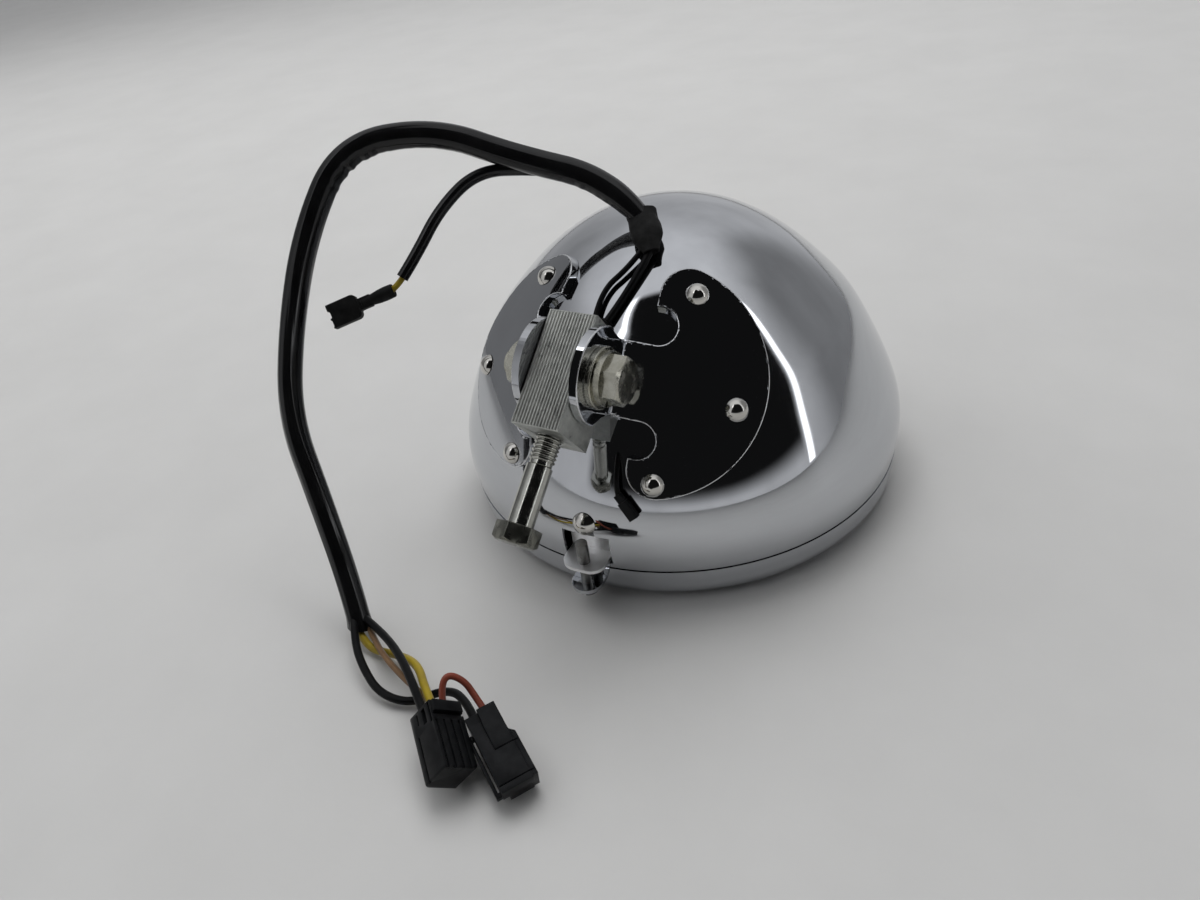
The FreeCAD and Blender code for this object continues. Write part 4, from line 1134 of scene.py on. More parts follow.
@dataclass
class Studio:
    """Pale table, walls, soft lamps, a dark screen and the camera at the photograph's angle.

    Angles are in degrees: turns count from -Y towards +X, and heights from the table up.
    """

    table_tone: Colour = (0.59, 0.587, 0.577)
    table_fleck: float = 1.05
    table_size: float = 9.0
    eye: Point = (0.12561, -0.25193, 0.21316)
    right: Point = (0.877, 0.4643, -0.1239)
    up: Point = (-0.1914, 0.5741, 0.7961)
    back: Point = (0.4407, -0.6745, 0.5923)
    lens: float = 26.1
    sensor: float = 36.0
    nearest: float = 0.01
    tint: Colour = (0.985, 0.995, 1.02)
    wall: float = 0.54
    ceiling: float = 0.78
    ceiling_rise: Span = (35.0, 72.0)
    far_wall: float = 0.25
    far_start: Span = (2.0, 30.0)
    far_end: Span = (179.0, 156.0)
    far_top: Span = (62.0, 40.0)
    near_wall: float = 0.20
    near_sides: Edges = (-178.0, -84.0, -74.0, -52.0)
    near_top: Span = (52.0, 22.0)
    fold_scale: float = 3.2
    fold_detail: float = 4.0
    fold_range: Span = (0.75, 0.5)
    screen_reach: float = 30.0
    screen_past: float = 0.15
    opening: tuple[float, float, float] = (-20.0, 87.0, 4.0)
    near_soft: float = 3.0
    far_soft: float = 2.0
    opening_lean: float = 0.33
    near_lean: float = 1.2
    near_lean_from: float = 58.0
    top_aim: float = 30.0
    top_lean: float = 0.1
    top_soft: float = 0.03
    room: float = 0.008
    strip: float = 2.2
    strip_sides: Edges = (0.6, 1.8, 4.2, 5.4)
    strip_top: Span = (61.0, 55.0)
    thin_sides: Edges = (-11.0, -10.0, -4.0, -3.0)
    thin_low: Span = (44.0, 50.0)
    lamps: tuple[Lamp, ...] = (Lamp("over", (-0.25, 0.62, 1.5), 1.2, 14.0),
                               Lamp("side", (-1.3, 0.1, 1.0), 0.8, 4.0))

    def build(self) -> None:
        """Set the table, the light and the camera."""
        self._table()
        self._sky()
        self._screen()
        for lamp in self.lamps:
            lamp.hang()
        self._camera()
        LOG.info("studio")

    def _table(self) -> None:
        """Lay the table top."""
        Bench.clear()
        bpy.ops.mesh.primitive_plane_add(size=self.table_size, location=(0, 0, 0))
        table = Bench.adopt("table")
        desk = ShaderDesk("table_top")
        pale = tuple(min(1.0, c * self.table_fleck) for c in self.table_tone)
        desk.cloud("Base Color", (14.0, 5.0, 0.6), (0.35, self.table_tone), (0.7, pale))
        desk.fix(Roughness=0.62, Specular_IOR_Level=0.3)
        desk.bump(desk.noise(500.0, 3.0), 0.05, 0.0005)
        table.data.materials.append(desk.material)
        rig.stage(table)

    def _sky(self) -> None:
        """Set pale walls, darker on the far and the near side, under a paler ceiling."""
        world = bpy.data.worlds.new("surroundings")
        bpy.context.scene.world = world
        world.use_nodes = True
        desk = SkyDesk(world.node_tree, Coords.SKY)
        paler = desk.product(desk.rise(desk.height, *self.ceiling_rise), self.ceiling - self.wall)
        past = desk.sum_up(Step.TAKE, desk.leaning(self.opening_lean), self.opening[1])
        far = desk.product(desk.rise(past, *self.far_start), desk.rise(desk.height, *self.far_top),
                           desk.rise(desk.turn, *self.far_end), self.wall - self.far_wall)
        near = desk.product(desk.band(desk.turn, 0.0, self.near_sides),
                            desk.rise(desk.height, *self.near_top), self.wall - self.near_wall)
        wall = desk.sum_up(Step.ADD, self.wall, paler)
        wall = desk.sum_up(Step.TAKE, desk.sum_up(Step.TAKE, wall, far), near)
        folds = desk.node("ShaderNodeTexNoise")
        folds.inputs["Scale"].default_value = self.fold_scale
        folds.inputs["Detail"].default_value = self.fold_detail
        desk.tree.links.new(desk.place, folds.inputs["Vector"])
        least, more = self.fold_range
        wall = desk.product(wall, desk.sum_up(Step.ADD, desk.product(folds.outputs[0], more), least))
        desk.join("ShaderNodeOutputWorld", desk.glow("ShaderNodeBackground", self.tint, wall))

    def _screen(self) -> None:
        """Hang a dark screen with light strips at its edges on the open side, for the chrome to mirror."""
        aim = math.radians(self.top_aim)
        front = Vector((math.sin(aim), -math.cos(aim), -self.top_lean))
        Bench.clear()
        bpy.ops.mesh.primitive_uv_sphere_add(segments=96, ring_count=48, radius=self.screen_reach)
        screen = Bench.adopt("screen")
        bpy.ops.object.mode_set(mode="EDIT")
        behind = front * (-self.screen_past * self.screen_reach)
        for place, normal in ((Vector(), Vector((0, 0, 1))), (behind, front)):
            bpy.ops.mesh.select_all(action="SELECT")
            bpy.ops.mesh.bisect(plane_co=place, plane_no=normal, clear_inner=True)
        bpy.ops.object.mode_set(mode="OBJECT")
        screen.data.materials.append(self._screen_cloth(front))
        screen.visible_camera = False
        screen.visible_transmission = False
        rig.stage(screen)

    def _screen_cloth(self, front: Vector) -> bpy.types.Material:
        """Make the screen's material, clear outside the opening and the strips.

        Args:
            front: Where the screen's top edge faces.

        Returns:
            The material.
        """
        cloth = bpy.data.materials.new("screen_cloth")
        cloth.use_nodes = True
        cloth.cycles.emission_sampling = "NONE"
        desk = SkyDesk(cloth.node_tree, Coords.OBJECT)
        left, right, low = self.opening
        lean = desk.leaning(self.opening_lean)
        above = desk.sum_up(Step.GREATEST, desk.sum_up(Step.TAKE, desk.height, self.near_lean_from), 0.0)
        near = desk.sum_up(Step.ADD, desk.turn, desk.product(above, self.near_lean))
        under = desk.rise(desk.facing(front), -self.top_soft, self.top_soft)
        inside = desk.product(desk.rise(near, left - self.near_soft, left + self.near_soft),
                              desk.rise(lean, right + self.far_soft, right - self.far_soft), under,
                              desk.rise(desk.height, low - self.near_soft, low + self.near_soft))
        strip = desk.product(desk.band(lean, right, self.strip_sides),
                             desk.rise(desk.height, *self.strip_top))
        thin = desk.product(desk.band(near, left, self.thin_sides),
                            desk.rise(desk.height, *self.thin_low), under)
        light = desk.product(desk.sum_up(Step.ADD, strip, thin), self.strip)
        veil = desk.join("ShaderNodeMixShader", inside, desk.node("ShaderNodeBsdfTransparent").outputs[0],
                         desk.glow("ShaderNodeEmission", self.tint, self.room))
        whole = desk.join("ShaderNodeAddShader", veil, desk.glow("ShaderNodeEmission", self.tint, light))
        desk.join("ShaderNodeOutputMaterial", whole)
        return cloth

    def _camera(self) -> None:
        """Set the camera."""
        data = bpy.data.cameras.new("camera")
        data.lens = self.lens
        data.sensor_width = self.sensor
        data.clip_start = self.nearest
        camera = bpy.data.objects.new("camera", data)
        turn = Matrix((self.right, self.up, self.back)).transposed().to_4x4()
        camera.matrix_world = Matrix.Translation(self.eye) @ turn
        bpy.context.scene.collection.objects.link(camera)
        bpy.context.scene.camera = camera
        bpy.context.scene.view_settings.view_transform = "Standard"


@dataclass
class Cord:
    """One cord of the wiring: a tube round a smooth line through its route."""

    name: str
    route: list[Point]
    diameter: float
    finish: Finish
    far_end: FarEnd = FarEnd.CONNECTOR
    stiffness: Stiffness = Stiffness.MEDIUM
    around: int = 20
    step: float = 0.8
    swell: Swell | None = None
    hollow: float = 0.0
    bore: float = 0.84
    slant: float = 0.0
    slant_reach: float = 8.0
    bend_radius: float = 25.0
    bend_points: int = 6
    smooth_to: float = 50.0
    line: list[Vector] = field(default_factory=list)
    piece: Piece | None = None

    def spine(self) -> list[Vector]:
        """Points along the smooth line.

        Returns:
            Points read from the route's spline, in metres.
        """
        curve = bpy.data.curves.new(self.name + "_line", "CURVE")
        curve.dimensions = "3D"
        spline = curve.splines.new("NURBS")
        spline.points.add(len(self.route) - 1)
        for point, spot in zip(spline.points, self.route):
            point.co = (spot[0] * MM, spot[1] * MM, spot[2] * MM, 1.0)
        spline.order_u = 3
        spline.use_endpoint_u = True
        rough = sum((Vector(b) - Vector(a)).length for a, b in zip(self.route, self.route[1:]))
        curve.resolution_u = max(6, int(rough / self.step / (len(self.route) - 1)) + 1)
        holder = bpy.data.objects.new(self.name + "_line", curve)
        bpy.context.scene.collection.objects.link(holder)
        bpy.context.view_layer.update()
        mesh = bpy.data.meshes.new_from_object(holder)
        found = [v.co.copy() for v in mesh.vertices]
        bpy.data.objects.remove(holder)
        bpy.data.curves.remove(curve)
        bpy.data.meshes.remove(mesh)
        return found

    def build(self) -> Piece:
        """Make the tube, which stands for the node of the same name.

        Returns:
            The tube.
        """
        self.line = self.spine()
        stations = [0.0]
        for a, b in zip(self.line, self.line[1:]):
            stations.append(stations[-1] + (b - a).length)
        spots, places = self._rows(stations)
        faces, uvs = self._skin(places)
        mesh = bpy.data.meshes.new(self.name + "_tube")
        mesh.from_pydata([tuple(spot) for spot in spots], [], faces)
        layer = mesh.uv_layers.new(name="along")
        for loop, uv in zip(layer.data, uvs):
            loop.uv = uv
        self.piece = bpy.data.objects.new(self.name + "_tube", mesh)
        bpy.context.scene.collection.objects.link(self.piece)
        Bench.smooth(self.piece, self.smooth_to)
        self.finish.dress(self.piece)
        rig.ride(self.piece, Body.LAMP.value)
        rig.replaces(self.piece, self.name)
        LOG.info("cord %s, %.1f mm", self.name, stations[-1] / MM)
        return self.piece

    def _rows(self, stations: list[float]) -> tuple[list[Vector], list[float]]:
        """Set rows of points round the line, and back along the bore where the end is hollow.

        Args:
            stations: Distance along the line of each of its points.

        Returns:
            The points, row after row, and the distance along the line of each row.
        """
        frames = self._frames()
        bends = self._bends()
        radius = self.diameter * MM / 2
        walls = [(1.0, i) for i in range(len(self.line))]
        if self.hollow > 0:
            reach = stations[-1] - self.hollow * MM
            walls += [(self.bore, i) for i in reversed(range(len(self.line))) if stations[i] > reach]
        spots = []
        for share, i in walls:
            across, over = frames[i]
            left = (stations[-1] - stations[i]) / MM
            lean = across.cross(over) * (self.slant * MM * max(0.0, 1 - left / self.slant_reach) ** 2)
            for k in range(self.around):
                angle = 2 * math.pi * k / self.around
                way = across * math.cos(angle) + over * math.sin(angle)
                grow = self.swell(stations[i] / MM, angle, left, way.dot(bends[i])) if self.swell else 1.0
                spots.append(self.line[i] + way * (radius * grow * share) + lean * math.cos(angle))
        return spots, [stations[i] for _, i in walls]

    def _skin(self, places: list[float]) -> tuple[list[tuple[int, ...]], list[Span]]:
        """Join rows of points by faces, with one face across each end.

        Args:
            places: Distance along the line of each row.

        Returns:
            The faces, and the place of each of their corners round and along the cord.
        """
        around = self.around
        faces, uvs = [], []
        for row, (here, there) in enumerate(zip(places, places[1:])):
            low, high = row * around, (row + 1) * around
            for k in range(around):
                j = (k + 1) % around
                faces.append((low + k, low + j, high + j, high + k))
                start, end = k / around, (k + 1) / around
                uvs += [(start, here), (end, here), (end, there), (start, there)]
        last = (len(places) - 1) * around
        for ring, place in ((reversed(range(around)), places[0]), (range(last, last + around), places[-1])):
            faces.append(tuple(ring))
            uvs += [(k / around, place) for k in range(around)]
        return faces, uvs

    def _frames(self) -> list[tuple[Vector, Vector]]:
        """Carry two directions across the line along it without twist.

        Returns:
            The two directions at each point.
        """
        frames = []
        across = None
        for i in range(len(self.line)):
            before = self.line[max(i - 1, 0)]
            after = self.line[min(i + 1, len(self.line) - 1)]
            way = (after - before).normalized()
            if across is None:
                start = Vector((0, 0, 1)) if abs(way.z) < 0.9 else Vector((1, 0, 0))
                across = start.cross(way).normalized()
            else:
                across = (across - way * across.dot(way)).normalized()
            frames.append((across, way.cross(across)))
        return frames

    def _bends(self) -> list[Vector]:
        """Measure the line's curvature.

        Returns:
            Direction to the inside of the bend at each point, of length 1 at the bend radius.
        """
        found = []
        for i, spot in enumerate(self.line):
            before = self.line[max(i - self.bend_points, 0)]
            after = self.line[min(i + self.bend_points, len(self.line) - 1)]
            span = max((after - before).length / 2, TINY * MM)
            found.append((before + after - spot * 2) / span ** 2 * (self.bend_radius * MM))
        return found

    def declare(self, carried: list[Piece]) -> None:
        """Say that the tube is a free cord.

        Args:
            carried: Pieces on the cord.
        """
        length = sum((b - a).length for a, b in zip(self.line, self.line[1:]))
        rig.cord(self.piece, exit=self.line[0], length=length, diameter=self.diameter * MM,
                far_end=self.far_end.value, stiffness=self.stiffness.value, lay="loose", path=self.line,
                with_pieces=carried)


@dataclass
class Bowl:
    """Deep-drawn bowl, trim ring and the optical unit inside."""

    profile: list[Ring] = field(default_factory=lambda: [
        (80.9, 13.4), (81.7, 22.0), (80.6, 31.0), (77.4, 40.3), (71.2, 53.9), (63.6, 67.2), (57.6, 74.4),
        (51.0, 81.3), (44.0, 87.7), (35.8, 93.6), (27.0, 98.4), (16.5, 102.2), (0.0, 104.5)])
    sheet: float = 1.0
    joggle: float = 1.5
    skirt_low: float = 9.8
    window: tuple[float, float, float] = (17.0, 15.4, 26.6)
    window_deep: Span = (-88.0, -76.0)
    clamp_turn: float = 2.3

    def build(self) -> None:
        """Model the bowl and dress what it carries."""
        self._shell()
        self._optics()

    def outline(self, count: int) -> list[Ring]:
        """Outer profile of the bowl as points."""
        return spline_through(self.profile, (0.1, 1.0), (-1.0, 0.0), count)

    def _shell(self) -> None:
        """Raise the bowl as one sheet with its stepped skirt, and cut the clamp window."""
        outer = self.outline(90)
        low_r, low_z = outer[0]
        skirt = low_r - self.joggle
        inner = []
        for (ra, za), (rb, zb) in zip(outer, outer[1:]):
            way = Vector((rb - ra, zb - za)).normalized()
            inner.append((ra - way.y * self.sheet, za + way.x * self.sheet))
        inner.append((0.0, outer[-1][1] - self.sheet))
        rim = [(skirt - self.sheet, low_z + self.sheet), (skirt - self.sheet, self.skirt_low),
               (skirt, self.skirt_low), (skirt, low_z - 0.25), (skirt + 0.3, low_z), (low_r - 0.35, low_z),
               (low_r - 0.08, low_z + 0.12)]
        path = list(reversed(inner)) + rim + outer[1:]
        shell = Bench.turn("bowl", path, 192)
        width, low, top = self.window
        front, rear = self.window_deep
        tool = Bench.box("window_tool", (-width / 2, front, low), (width / 2, rear, top))
        Bench.cut(shell, Bench.place(tool, Matrix.Rotation(math.radians(self.clamp_turn), 4, "Z")))
        Bench.smooth(shell, 30.0)
        Chrome().dress(shell)
        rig.ride(shell, Body.LAMP.value)
        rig.replaces(shell, "shell")
        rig.slot(shell, "chrome")
        LOG.info("bowl")

    def _optics(self) -> None:
        """Dress the ring, lens, reflector, bulb and what holds them."""
        spring = Plating("spring_steel", (0.5, 0.5, 0.51), (0.38, 0.38, 0.39))
        Bench.dress_nodes({
            "trim_ring": Chrome(),
            "lens": FlutedGlass(),
            "lens_gasket": Rubber(),
            "reflector": Aluminised(),
            "retaining_clips": spring,
            "bulb_capsule": ClearGlass(),
            "bulb_base": Plating("bulb_steel", (0.62, 0.61, 0.58), (0.48, 0.47, 0.44)),
            "bulb_clip": spring,
            "dust_boot": Rubber(),
            "bulb_socket": Moulding("socket_plastic", (0.30, 0.28, 0.24), (0.38, 0.36, 0.31)),
        })


@dataclass
class Bracket:
    """Two bracket plates, their rivets, the rim clamp and the pivot hardware."""

    edge_round: float = 0.28
    facing: Point = (0.381, -0.783, 0.492)
    flatness: float = 0.6
    flat_from: float = 0.72
    flat_over: float = 0.14

    def build(self) -> None:
        """Dress the plates, with a painted highlight on their rims, and the hardware."""
        nickel = Plating("rivet_nickel", (0.66, 0.645, 0.61), (0.56, 0.545, 0.51), 0.06, 0.16, 160.0, 0.04)
        zinc = Plating("zinc_hardware", (0.50, 0.49, 0.43), (0.35, 0.34, 0.28), 0.16, 0.34)
        dark = Plating("dark_screw", (0.30, 0.30, 0.29), (0.16, 0.16, 0.155), 0.25, 0.5)
        # Paler, rougher metal for the plates' rounded rims: a painted highlight for the bright line along each plate
        # edge.
        rim_highlight = Plating("painted_rim_highlight", (0.80, 0.805, 0.82), (0.70, 0.705, 0.72), 0.22, 0.34, 200.0, 0.05)
        bright = Plating("clamp_bright", (0.97, 0.97, 0.97), (0.90, 0.90, 0.90), 0.34, 0.48, 160.0, 0.04)
        for node in ("bracket_left", "bracket_right"):
            plate = Bench.copy_of(node, node.replace("bracket", "plate"))
            Chrome().dress(plate)
            # The rim rounding takes the paler metal, a painted highlight line along the plate's outline.
            plate.data.materials.append(rim_highlight.material())
            side = -1.0 if node.endswith("left") else 1.0
            facing = Vector((self.facing[0] * side, self.facing[1], self.facing[2])).normalized()
            Bench.rim(plate, facing, self.edge_round, 1)
            Bench.smooth(plate, 30.0)
            self._flatten(plate, facing)
            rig.ride(plate, Body.LAMP.value)
            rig.replaces(plate, node)
            LOG.info("plate %s", node)
        Bench.dress_nodes({
            "bracket_rivets": nickel, "clamp_rivet": nickel, "clamp_tab": bright, "clamp_screw": dark,
            "pivot_bolt": zinc, "pivot_nut": zinc, "pivot_washer": zinc, "pivot_lock_washer": zinc,
            "wire_grommet": Rubber(),
        })

    def _flatten(self, plate: Piece, mean: Vector) -> None:
        """Shade a plate's outer face flatter than the bowl, as pressed sheet lies.

        Args:
            plate: The plate.
            mean: Where its outer face looks.
        """
        mesh = plate.data
        found = [corner.vector.copy() for corner in mesh.corner_normals]
        for face in mesh.polygons:
            past = face.normal.dot(mean) - self.flat_from
            if face.material_index > 0 or past < 0:
                continue
            share = self.flatness * min(1.0, past / self.flat_over)
            for index in face.loop_indices:
                found[index] = found[index].lerp(mean, share).normalized()
        mesh.normals_split_custom_set(found)


@dataclass
class Mount:
    """Mount block, ridged on its outer face, and its bolt."""

    pivot: Point = (0.0, -71.0, 81.4)
    bolt_way: Point = (0.0, -0.808, -0.589)
    face_high: float = 7.5
    reach: tuple[float, float] = (-22.0, 18.0)
    ridge_pitch: float = 1.0
    ridge_count: int = 15
    groove: float = 0.46
    flats_turn: float = 30.0
    head_ease: float = 0.15
    head_high: float = 5.5
    end_face: float = 0.98

    def build(self) -> None:
        """Model the block and its bolt."""
        block = Bench.copy_of("mount_block", "ridged_block")
        Bench.cut(block, self._grooves())
        Bench.smooth(block, 25.0)
        BlockZinc().dress(block)
        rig.ride(block, Body.MOUNT.value)
        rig.replaces(block, "mount_block")
        bolt = Bench.copy_of("mount_bolt", "block_bolt")
        self._finish_bolt(bolt)
        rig.ride(bolt, Body.MOUNT.value)
        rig.replaces(bolt, "mount_bolt")
        LOG.info("mount block and bolt")

    def _finish_bolt(self, bolt: Piece) -> None:
        """Turn the bolt's flats to the front, ease the head, lay the plating and shade the shank round.

        Args:
            bolt: Copy of the bolt.
        """
        way = Vector(self.bolt_way).normalized()
        side = way.cross(Vector((1, 0, 0)))
        reach = [corner.co.dot(way) for corner in bolt.data.vertices]
        high = [corner.co.dot(side) for corner in bolt.data.vertices]
        axis = side * ((min(high) + max(high)) / 2)
        turn = Matrix.Rotation(math.radians(self.flats_turn), 4, way)
        Bench.place(bolt, Matrix.Translation(axis) @ turn @ Matrix.Translation(-axis))
        Bench.ease(bolt, self.head_ease, 2, 55.0)
        Bench.smooth(bolt, 30.0)
        shank = Plating("bolt_steel", (0.50, 0.50, 0.465), (0.36, 0.36, 0.33), 0.10, 0.24, 420.0, 0.05)
        head = Plating("bolt_head_steel", (0.25, 0.25, 0.22), (0.14, 0.14, 0.12), 0.24, 0.4, 420.0, 0.08)
        shank.dress(bolt)
        bolt.data.materials.append(head.material())
        mesh = bolt.data
        found = [corner.vector.copy() for corner in mesh.corner_normals]
        for face in mesh.polygons:
            lift = face.normal.dot(way)
            if face.center.dot(way) > max(reach) - (self.head_high - TINY) * MM:
                face.material_index = 1
            elif abs(lift) < self.end_face:
                for index in face.loop_indices:
                    spot = mesh.vertices[mesh.loops[index].vertex_index].co - axis
                    outward = (spot - way * spot.dot(way)).normalized()
                    found[index] = outward * math.sqrt(1 - lift * lift) + way * lift
        mesh.normals_split_custom_set(found)

    def _grooves(self) -> Piece:
        """Model a row of bars that cut the grooves between the ridges.

        Returns:
            The bars.
        """
        first = -self.ridge_pitch * (self.ridge_count - 1) / 2
        middle = sum(self.reach) / 2
        Bench.clear()
        bpy.ops.mesh.primitive_cube_add(
            size=1.0, location=(first * MM, middle * MM, self.face_high * MM),
            rotation=(0, math.radians(45), 0),
            scale=(self.groove * MM, (self.reach[1] - self.reach[0] + 4) * MM, self.groove * MM))
        bars = Bench.adopt("groove_bars")
        row = bars.modifiers.new("row", "ARRAY")
        row.count = self.ridge_count
        row.use_relative_offset = False
        row.use_constant_offset = True
        row.constant_offset_displace = (self.ridge_pitch * MM, 0, 0)
        Bench.apply(bars)
        back = -Vector(self.bolt_way)
        turn = Matrix(((1, 0, 0), back, Vector((1, 0, 0)).cross(back))).transposed().to_4x4()
        return Bench.place(bars, Matrix.Translation(Vector(self.pivot) * MM) @ turn)


def level_side(start: Point, end: Point, roll: float = 0.0) -> Vector:
    """Direction across a piece that points from one place to another.

    Args:
        start: Where the piece starts.
        end: Where it ends.
        roll: Turn from the level direction, in degrees.

    Returns:
        The direction.
    """
    way = (Vector(end) - Vector(start)).normalized()
    flat = way.cross(Vector((0, 0, 1))).normalized()
    return flat * math.cos(math.radians(roll)) + flat.cross(way) * math.sin(math.radians(roll))


@dataclass
class RibbedHousing:
    """Square connector housing with slots on one face and ribs on the next."""

    start: Point = (-11.4, -149.2, 12.0)
    end: Point = (3.6, -162.9, 8.3)
    side: float = 10.8
    roll: float = 45.0
    corner: float = 1.7
    rib_places: tuple[float, ...] = (4.3, 1.8, -0.8, -3.3)
    rib_gap: float = 0.75
    rib_start: float = 6.0
    head_length: float = 3.7
    head_rise: float = 0.9

    def build(self) -> Piece:
        """Model the housing and put it in place of its node.

        Returns:
            The housing.
        """
        half = self.side / 2
        length = (Vector(self.end) - Vector(self.start)).length
        body = Bench.box("ribbed_housing", (-half, -half, 0), (half, half, length))
        Bench.round_edges(body, lambda a, b: min(a.x, b.x, a.y, b.y) > half - NEAR, self.corner)
        Bench.round_edges(
            body, lambda a, b: min(a.z, b.z) > length - NEAR and max(a.x, b.x, a.y, b.y) > half - 2, 0.6, 3)
        head = Bench.box("head", (-half + 0.4, -half - self.head_rise, 0.2),
                         (half - 0.6, -half + 2, self.head_length))
        Bench.cut(body, head, Work.MELT)
        for low, high in self._hollows(half, length):
            Bench.cut(body, Bench.box("hollow", low, high))
        Bench.ease(body, 0.14, 2, 50.0)
        Bench.smooth(body, 35.0)
        Bench.place(body, Bench.along(self.start, self.end, level_side(self.start, self.end, self.roll)))
        Moulding().dress(body)
        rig.ride(body, Body.LAMP.value)
        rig.replaces(body, "ribbed_connector")
        LOG.info("ribbed housing")
        return body

    def _hollows(self, half: float, length: float) -> list[Box]:
        """Grooves and slots, as boxes to cut.

        Args:
            half: Half the side.
            length: Length of the housing.

        Returns:
            Least and greatest corners.
        """
        gap = self.rib_gap / 2
        ribs = [((x - gap, -half - 1, self.rib_start), (x + gap, -half + 0.7, length + 1))
                for x in self.rib_places]
        collar = ((-half - 1, -half - 2, self.head_length), (half - 0.6, -half + 0.8, self.head_length + 0.8))
        slit = ((half - 0.9, 0.9, 0.9), (half + 1, 1.5, 4.2))
        latch = ((half - 1.6, -2.6, 0.9), (half + 1, -1.0, 5.4))
        score = ((half - 0.6, 2.1, 7.2), (half + 1, 2.7, length + 1))
        keyway = ((half - 0.7, -half + 0.5, 0.4), (half + 1, -half + 1.3, 6.4))
        mouth = ((-half + 1.8, -half + 2.6, -1), (half - 1.8, half - 2.2, 0.7))
        return [*ribs, collar, slit, latch, score, keyway, mouth]


@dataclass
class SlimHousing:
    """Flat connector housing with a latch panel, a side rail and a stepped flank."""

    start: Point = (0.6, -143.7, 10.2)
    end: Point = (21.6, -157.3, 5.4)
    wide: float = 4.7
    high: float = 3.8
    flank: float = 1.5
    flank_start: float = 9.6
    seam: float = 0.26
    rail: tuple[float, float] = (5.2, 6.2)

    def build(self) -> Piece:
        """Model the housing and put it in place of its node.

        Returns:
            The housing.
        """
        length = (Vector(self.end) - Vector(self.start)).length
        wide, high = self.wide, self.high
        body = Bench.box("slim_housing", (-wide, -high, 0), (wide, 0.3, length))
        Bench.cut(body, Bench.box("keel", (-wide + 0.2, 0.1, 1.2), (2.6, high, length - 0.4)), Work.MELT)
        flank = Bench.box("flank", (-wide - self.flank, -high + 0.25, self.flank_start),
                          (-wide + 1, high - 0.6, length - 0.5))
        Bench.round_edges(
            flank, lambda a, b: max(a.z, b.z) < self.flank_start + NEAR and max(a.x, b.x) < -wide, 1.4, 1)
        Bench.cut(body, flank, Work.MELT)
        inner, outer = self.rail
        rail = ((inner, 0.2, 4.6), (outer, 2.0, length - 1.0))
        first_post = ((2.0, 0.15, 4.6), (inner + 0.4, 1.9, 6.0))
        last_post = ((2.0, 0.15, length - 2.4), (inner + 0.4, 1.9, length - 1.0))
        for low, top in (rail, first_post, last_post):
            Bench.cut(body, Bench.box("rail", low, top), Work.MELT)
        Bench.cut(body, Bench.box("pocket", (0.8, -high - 1, -1), (wide + 1, -high + 2.2, 4.0)))
        Bench.cut(body, Bench.box("mouth", (-wide + 1.2, -high + 0.9, -1), (0.2, -high + 3.4, 1.1)))
        for low, top in self._seams(length):
            Bench.cut(body, Bench.box("seam", low, top))
        Bench.ease(body, 0.16, 2, 50.0)
        Bench.smooth(body, 35.0)
        Bench.place(body, Bench.along(self.start, self.end, level_side(self.start, self.end)))
        Moulding().dress(body)
        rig.ride(body, Body.LAMP.value)
        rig.replaces(body, "slim_connector")
        LOG.info("slim housing")
        return body

    def _seams(self, length: float) -> list[Box]:
        """Fine lines of the latch panel and the collar, as boxes to cut.

        Args:
            length: Length of the housing.

        Returns:
            Least and greatest corners.
        """
        top, deep, line = -self.high - 1, -self.high + 0.35, self.seam / 2
        latch, shoulder, collar = 1.1, 13.5, length * 0.92
        return [
            ((latch - line, top, 3.6), (latch + line, deep, shoulder + line)),
            ((-self.wide - 3, top, shoulder - line), (latch + line, deep, shoulder + line)),
            ((-self.wide - 3, top, collar - line), (self.wide + 1, deep, collar + line)),
        ]


@dataclass
class PushOnTerminal:
    """Sleeved push-on terminal: barrel, waisted neck and wide flag."""

    start: Point = (-70.9, -59.3, 93.4)
    end: Point = (-88.2, -73.6, 88.2)
    wide_way: Point = (0.531, -0.336, -0.777)
    barrel: list[Ring] = field(default_factory=lambda: [
        (0.0, 0.5), (1.7, 0.5), (1.75, 0.0), (2.1, 0.0), (2.25, 0.5), (2.35, 3.0), (2.2, 5.4), (1.9, 7.6),
        (1.7, 9.4), (1.65, 11.5), (0.0, 11.5)])
    flag_length: float = 10.5
    flag_wide: float = 4.1
    flag_thick: float = 1.6
    dimple: float = 0.5

    def build(self) -> Piece:
        """Model the terminal and put it in place of its node.

        Returns:
            The terminal.
        """
        length = (Vector(self.end) - Vector(self.start)).length
        low = length - self.flag_length
        body = Bench.turn("push_on_terminal", self.barrel, 32)
        flag = Bench.box("flag", (-self.flag_wide, -self.flag_thick, low),
                         (self.flag_wide, self.flag_thick, length))
        Bench.round_edges(flag, lambda a, b: max(a.z, b.z) < low + NEAR and abs(a.x - b.x) < NEAR, 1.6, 3)
        Bench.cut(body, flag, Work.MELT)
        neck = Bench.box("neck", (-2.0, -1.25, 8.2), (2.0, 1.25, low + 1.5))
        Bench.cut(body, neck, Work.MELT)
        Bench.cut(body, Bench.box("mouth", (-3.3, -0.6, length - 3.0), (3.3, 0.6, length + 1)))
        for x, deep in ((-0.4, 0.7), (2.6, 0.35)):
            notch = Bench.box("notch", (x - 1.3, -3, length - deep), (x + 1.0, 3, length + 1))
            Bench.cut(body, notch)
        Bench.clear()
        bpy.ops.mesh.primitive_uv_sphere_add(segments=16, ring_count=8, radius=self.dimple * MM,
                                             location=(0, -2.35 * MM, 2.6 * MM))
        Bench.cut(body, Bench.adopt("dimple"))
        Bench.ease(body, 0.3, 3, 45.0)
        Bench.smooth(body, 40.0)
        Bench.place(body, Bench.along(self.start, self.end, self.wide_way))
        Rubber("terminal_sleeve").dress(body)
        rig.ride(body, Body.LAMP.value)
        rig.replaces(body, "branch_terminal")
        LOG.info("push-on terminal")
        return body


